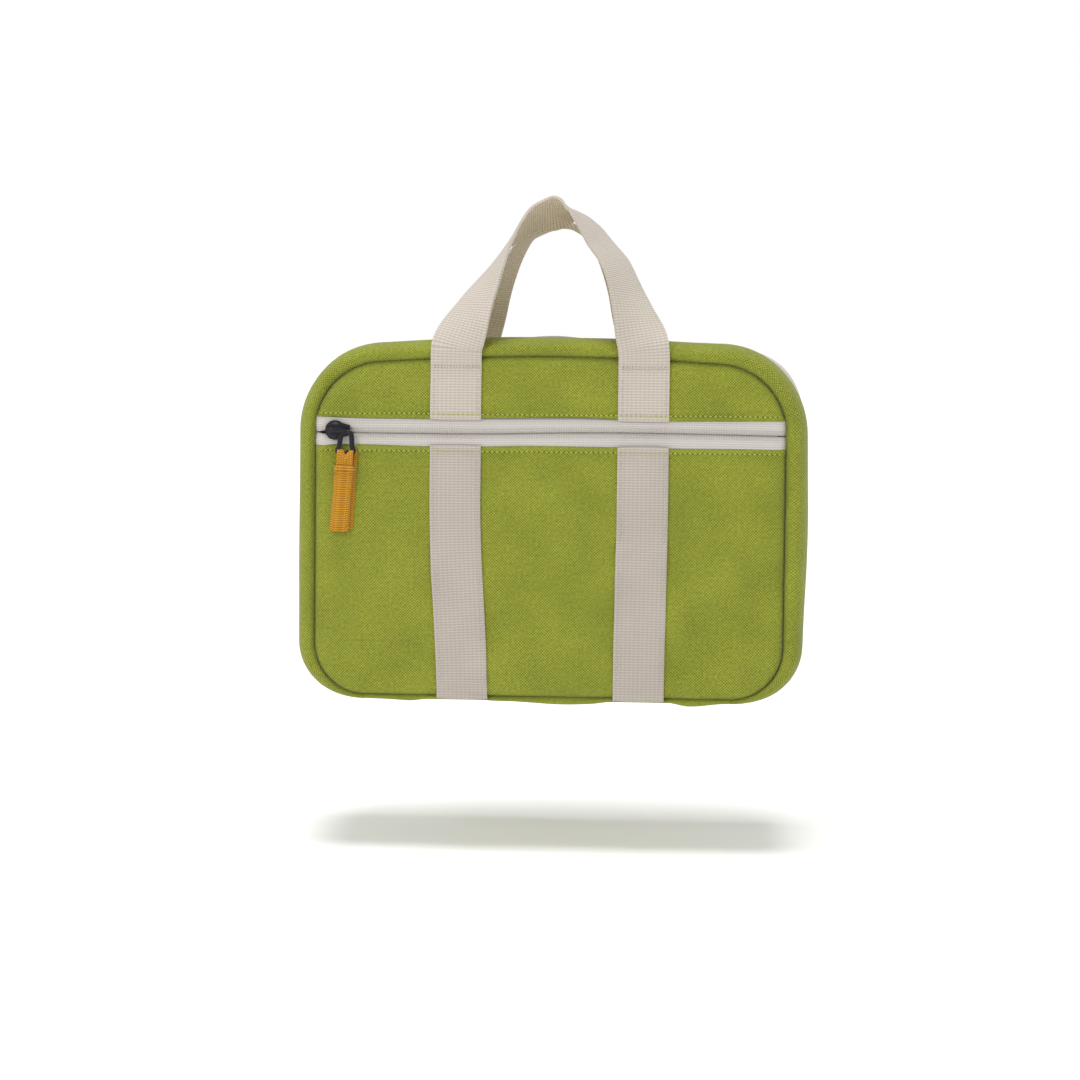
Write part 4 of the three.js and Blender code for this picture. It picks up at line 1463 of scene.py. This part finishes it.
def makeTab(name, frame, length):
    # a webbing loop through the pull, its two leaves held in a folded sleeve
    piece = f"{name}PullTab"
    shape = pullShape
    eye = shape["height"]
    top, end = eye - 0.0016, eye + length
    # how far down the pull and how far out the webbing runs, up one leaf and down the other
    profile = [
        (end - 0.0006, -0.0006), (end * 0.6, -0.0009), (eye + 0.0075, -0.0010), (eye + 0.0025, -0.0014),
        (eye + 0.0001, -0.0015), (top, -0.0002), (eye + 0.0001, 0.0013), (eye + 0.0025, 0.0012),
        (eye + 0.0075, 0.0009), (end * 0.6, 0.0008), (end - 0.0004, 0.0006),
    ]
    line = [(spot,) for spot in curveThrough([(down, out, 0) for down, out in profile], 90)]

    def loopPlace(across, along):
        spot = between(line, along)[0]
        offset = 2 * across - 1
        # the wire gathers the loop into a notch in the middle
        notch = 0.0022 * bell(offset, 0.05, 0.34) * smoothStep(eye + 0.0060 - spot.x, 0.0, 0.0050)
        back = 0.0017 * smoothStep(-spot.y, -0.0002, 0.0008)
        return frame @ Vector((offset * shape["band"] / 2 + back, spot.x + notch, spot.y))

    loop = clothGrid(f"{piece}Loop", (16, 110), loopPlace, (shape["band"], 2 * length), finish["orange"])
    thicken(loop, 0.0010, 0.0)
    startY, endY = eye + 0.0068, end + 0.0008
    sleeveRound = 0.0252  # length of cloth round the sleeve

    def sleevePlace(around, down):
        across, out = roundedBox(around)
        flare = 1 + 0.012 * math.sin(down * 9)
        close = 1 - 0.18 * smoothStep(down, 0.9, 1.0)
        tip = 0.00025 * math.sin(around * 25 + 1)
        skew = -0.0009 * down
        return frame @ Vector((
            across * shape["sleeve"] / 2 * flare + skew, startY + (endY - startY) * down + tip,
            out * (shape["sleeveDepth"] / 2 + 0.0006) * close + 0.0002))

    size = (sleeveRound, endY - startY)
    sleeve = clothGrid(f"{piece}Sleeve", (64, 60), sleevePlace, size, finish["orange"])
    thicken(sleeve, 0.0009, 0.0)

    def foldPlace(around, down):
        # the sleeve's turned-over top edge
        across, out = roundedBox(around)
        roll = 0.00045 * math.sin(math.pi * down)
        return frame @ Vector((
            across * (shape["sleeve"] / 2 + 0.0002 + roll), startY - 0.0004 + 0.0022 * down,
            out * (shape["sleeveDepth"] / 2 + 0.0009 + roll) + 0.0002))

    fold = clothGrid(f"{piece}Fold", (64, 6), foldPlace, (sleeveRound, 0.0022), finish["orange"])
    thicken(fold, 0.0006, 0.0)
    tab = joinPieces([loop, sleeve, fold], piece)
    settle(tab, f"{name}_tab", "orange_webbing", f"{name}_pull_tab")
    rows = []
    wide = (frame.to_3x3() @ Vector((1, 0, 0))).normalized()
    out = (frame.to_3x3() @ Vector((0, 0, 1))).normalized()
    for down in (0.0034, endY - startY - 0.0022):
        for step in range(5):
            across = -0.0038 + 0.0019 * step
            spot = frame @ Vector((across, startY + down, shape["sleeveDepth"] / 2 + 0.0013))
            rows.append((spot, wide, out))
    sewStitches(f"{piece}Stitches", rows, "tabSeam", f"{name}_tab")


def axesFrame(origin, first, second, third):
    turn = Matrix((first, second, third)).transposed().to_4x4()
    return Matrix.Translation(origin) @ turn


def makePull(name, frame):
    makeLink(name, frame)
    makeTab(name, frame, tabLength[name])


def makeSliders():
    right, up, front = Vector((1, 0, 0)), Vector((0, 0, 1)), Vector((0, -1, 0))
    low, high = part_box("pocket_slider_body")
    middle = (low + high) / 2
    place = (middle.x, pocketZip["depth"] - 0.0002, middle.z + 0.0006)
    makeSlider("pocket", axesFrame(place, right, up, front))
    low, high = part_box("pocket_pull_link")
    pivot = Vector((
        (low.x + high.x) / 2 + pocketPull["across"], (low.y + high.y) / 2 - pocketPull["back"],
        high.z - pocketPull["down"]))
    tilt = Matrix.Rotation(math.radians(pocketPull["tilt"]), 4, "Z")
    makePull("pocket", axesFrame(pivot, right, -up, front) @ tilt)
    low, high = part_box("main_slider_body")
    middle = (low + high) / 2
    back, left = Vector((0, 1, 0)), Vector((-1, 0, 0))
    # the main slider stands on its tape, at the gusset's left side
    tapeX = bag["middleX"] - bag["halfWidth"] - fullSwell * swellShares["side"] + mainZip["sunk"]
    makeSlider("main", axesFrame((tapeX, middle.y, middle.z), up, -back, left))
    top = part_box("main_pull_link")[1].z
    pivot = Vector((tapeX - mainPull["out"], middle.y, top - mainPull["down"]))
    makePull("main", axesFrame(pivot, -back, -up, left))


makeSliders()
print("sliders and pulls made")

# the CAD zip stops stay in view
for node in ("pocket_zip_stop_left", "pocket_zip_stop_right"):
    stop = frame["nodes"][node]
    stop.data.materials.clear()
    stop.data.materials.append(finish["metal"])
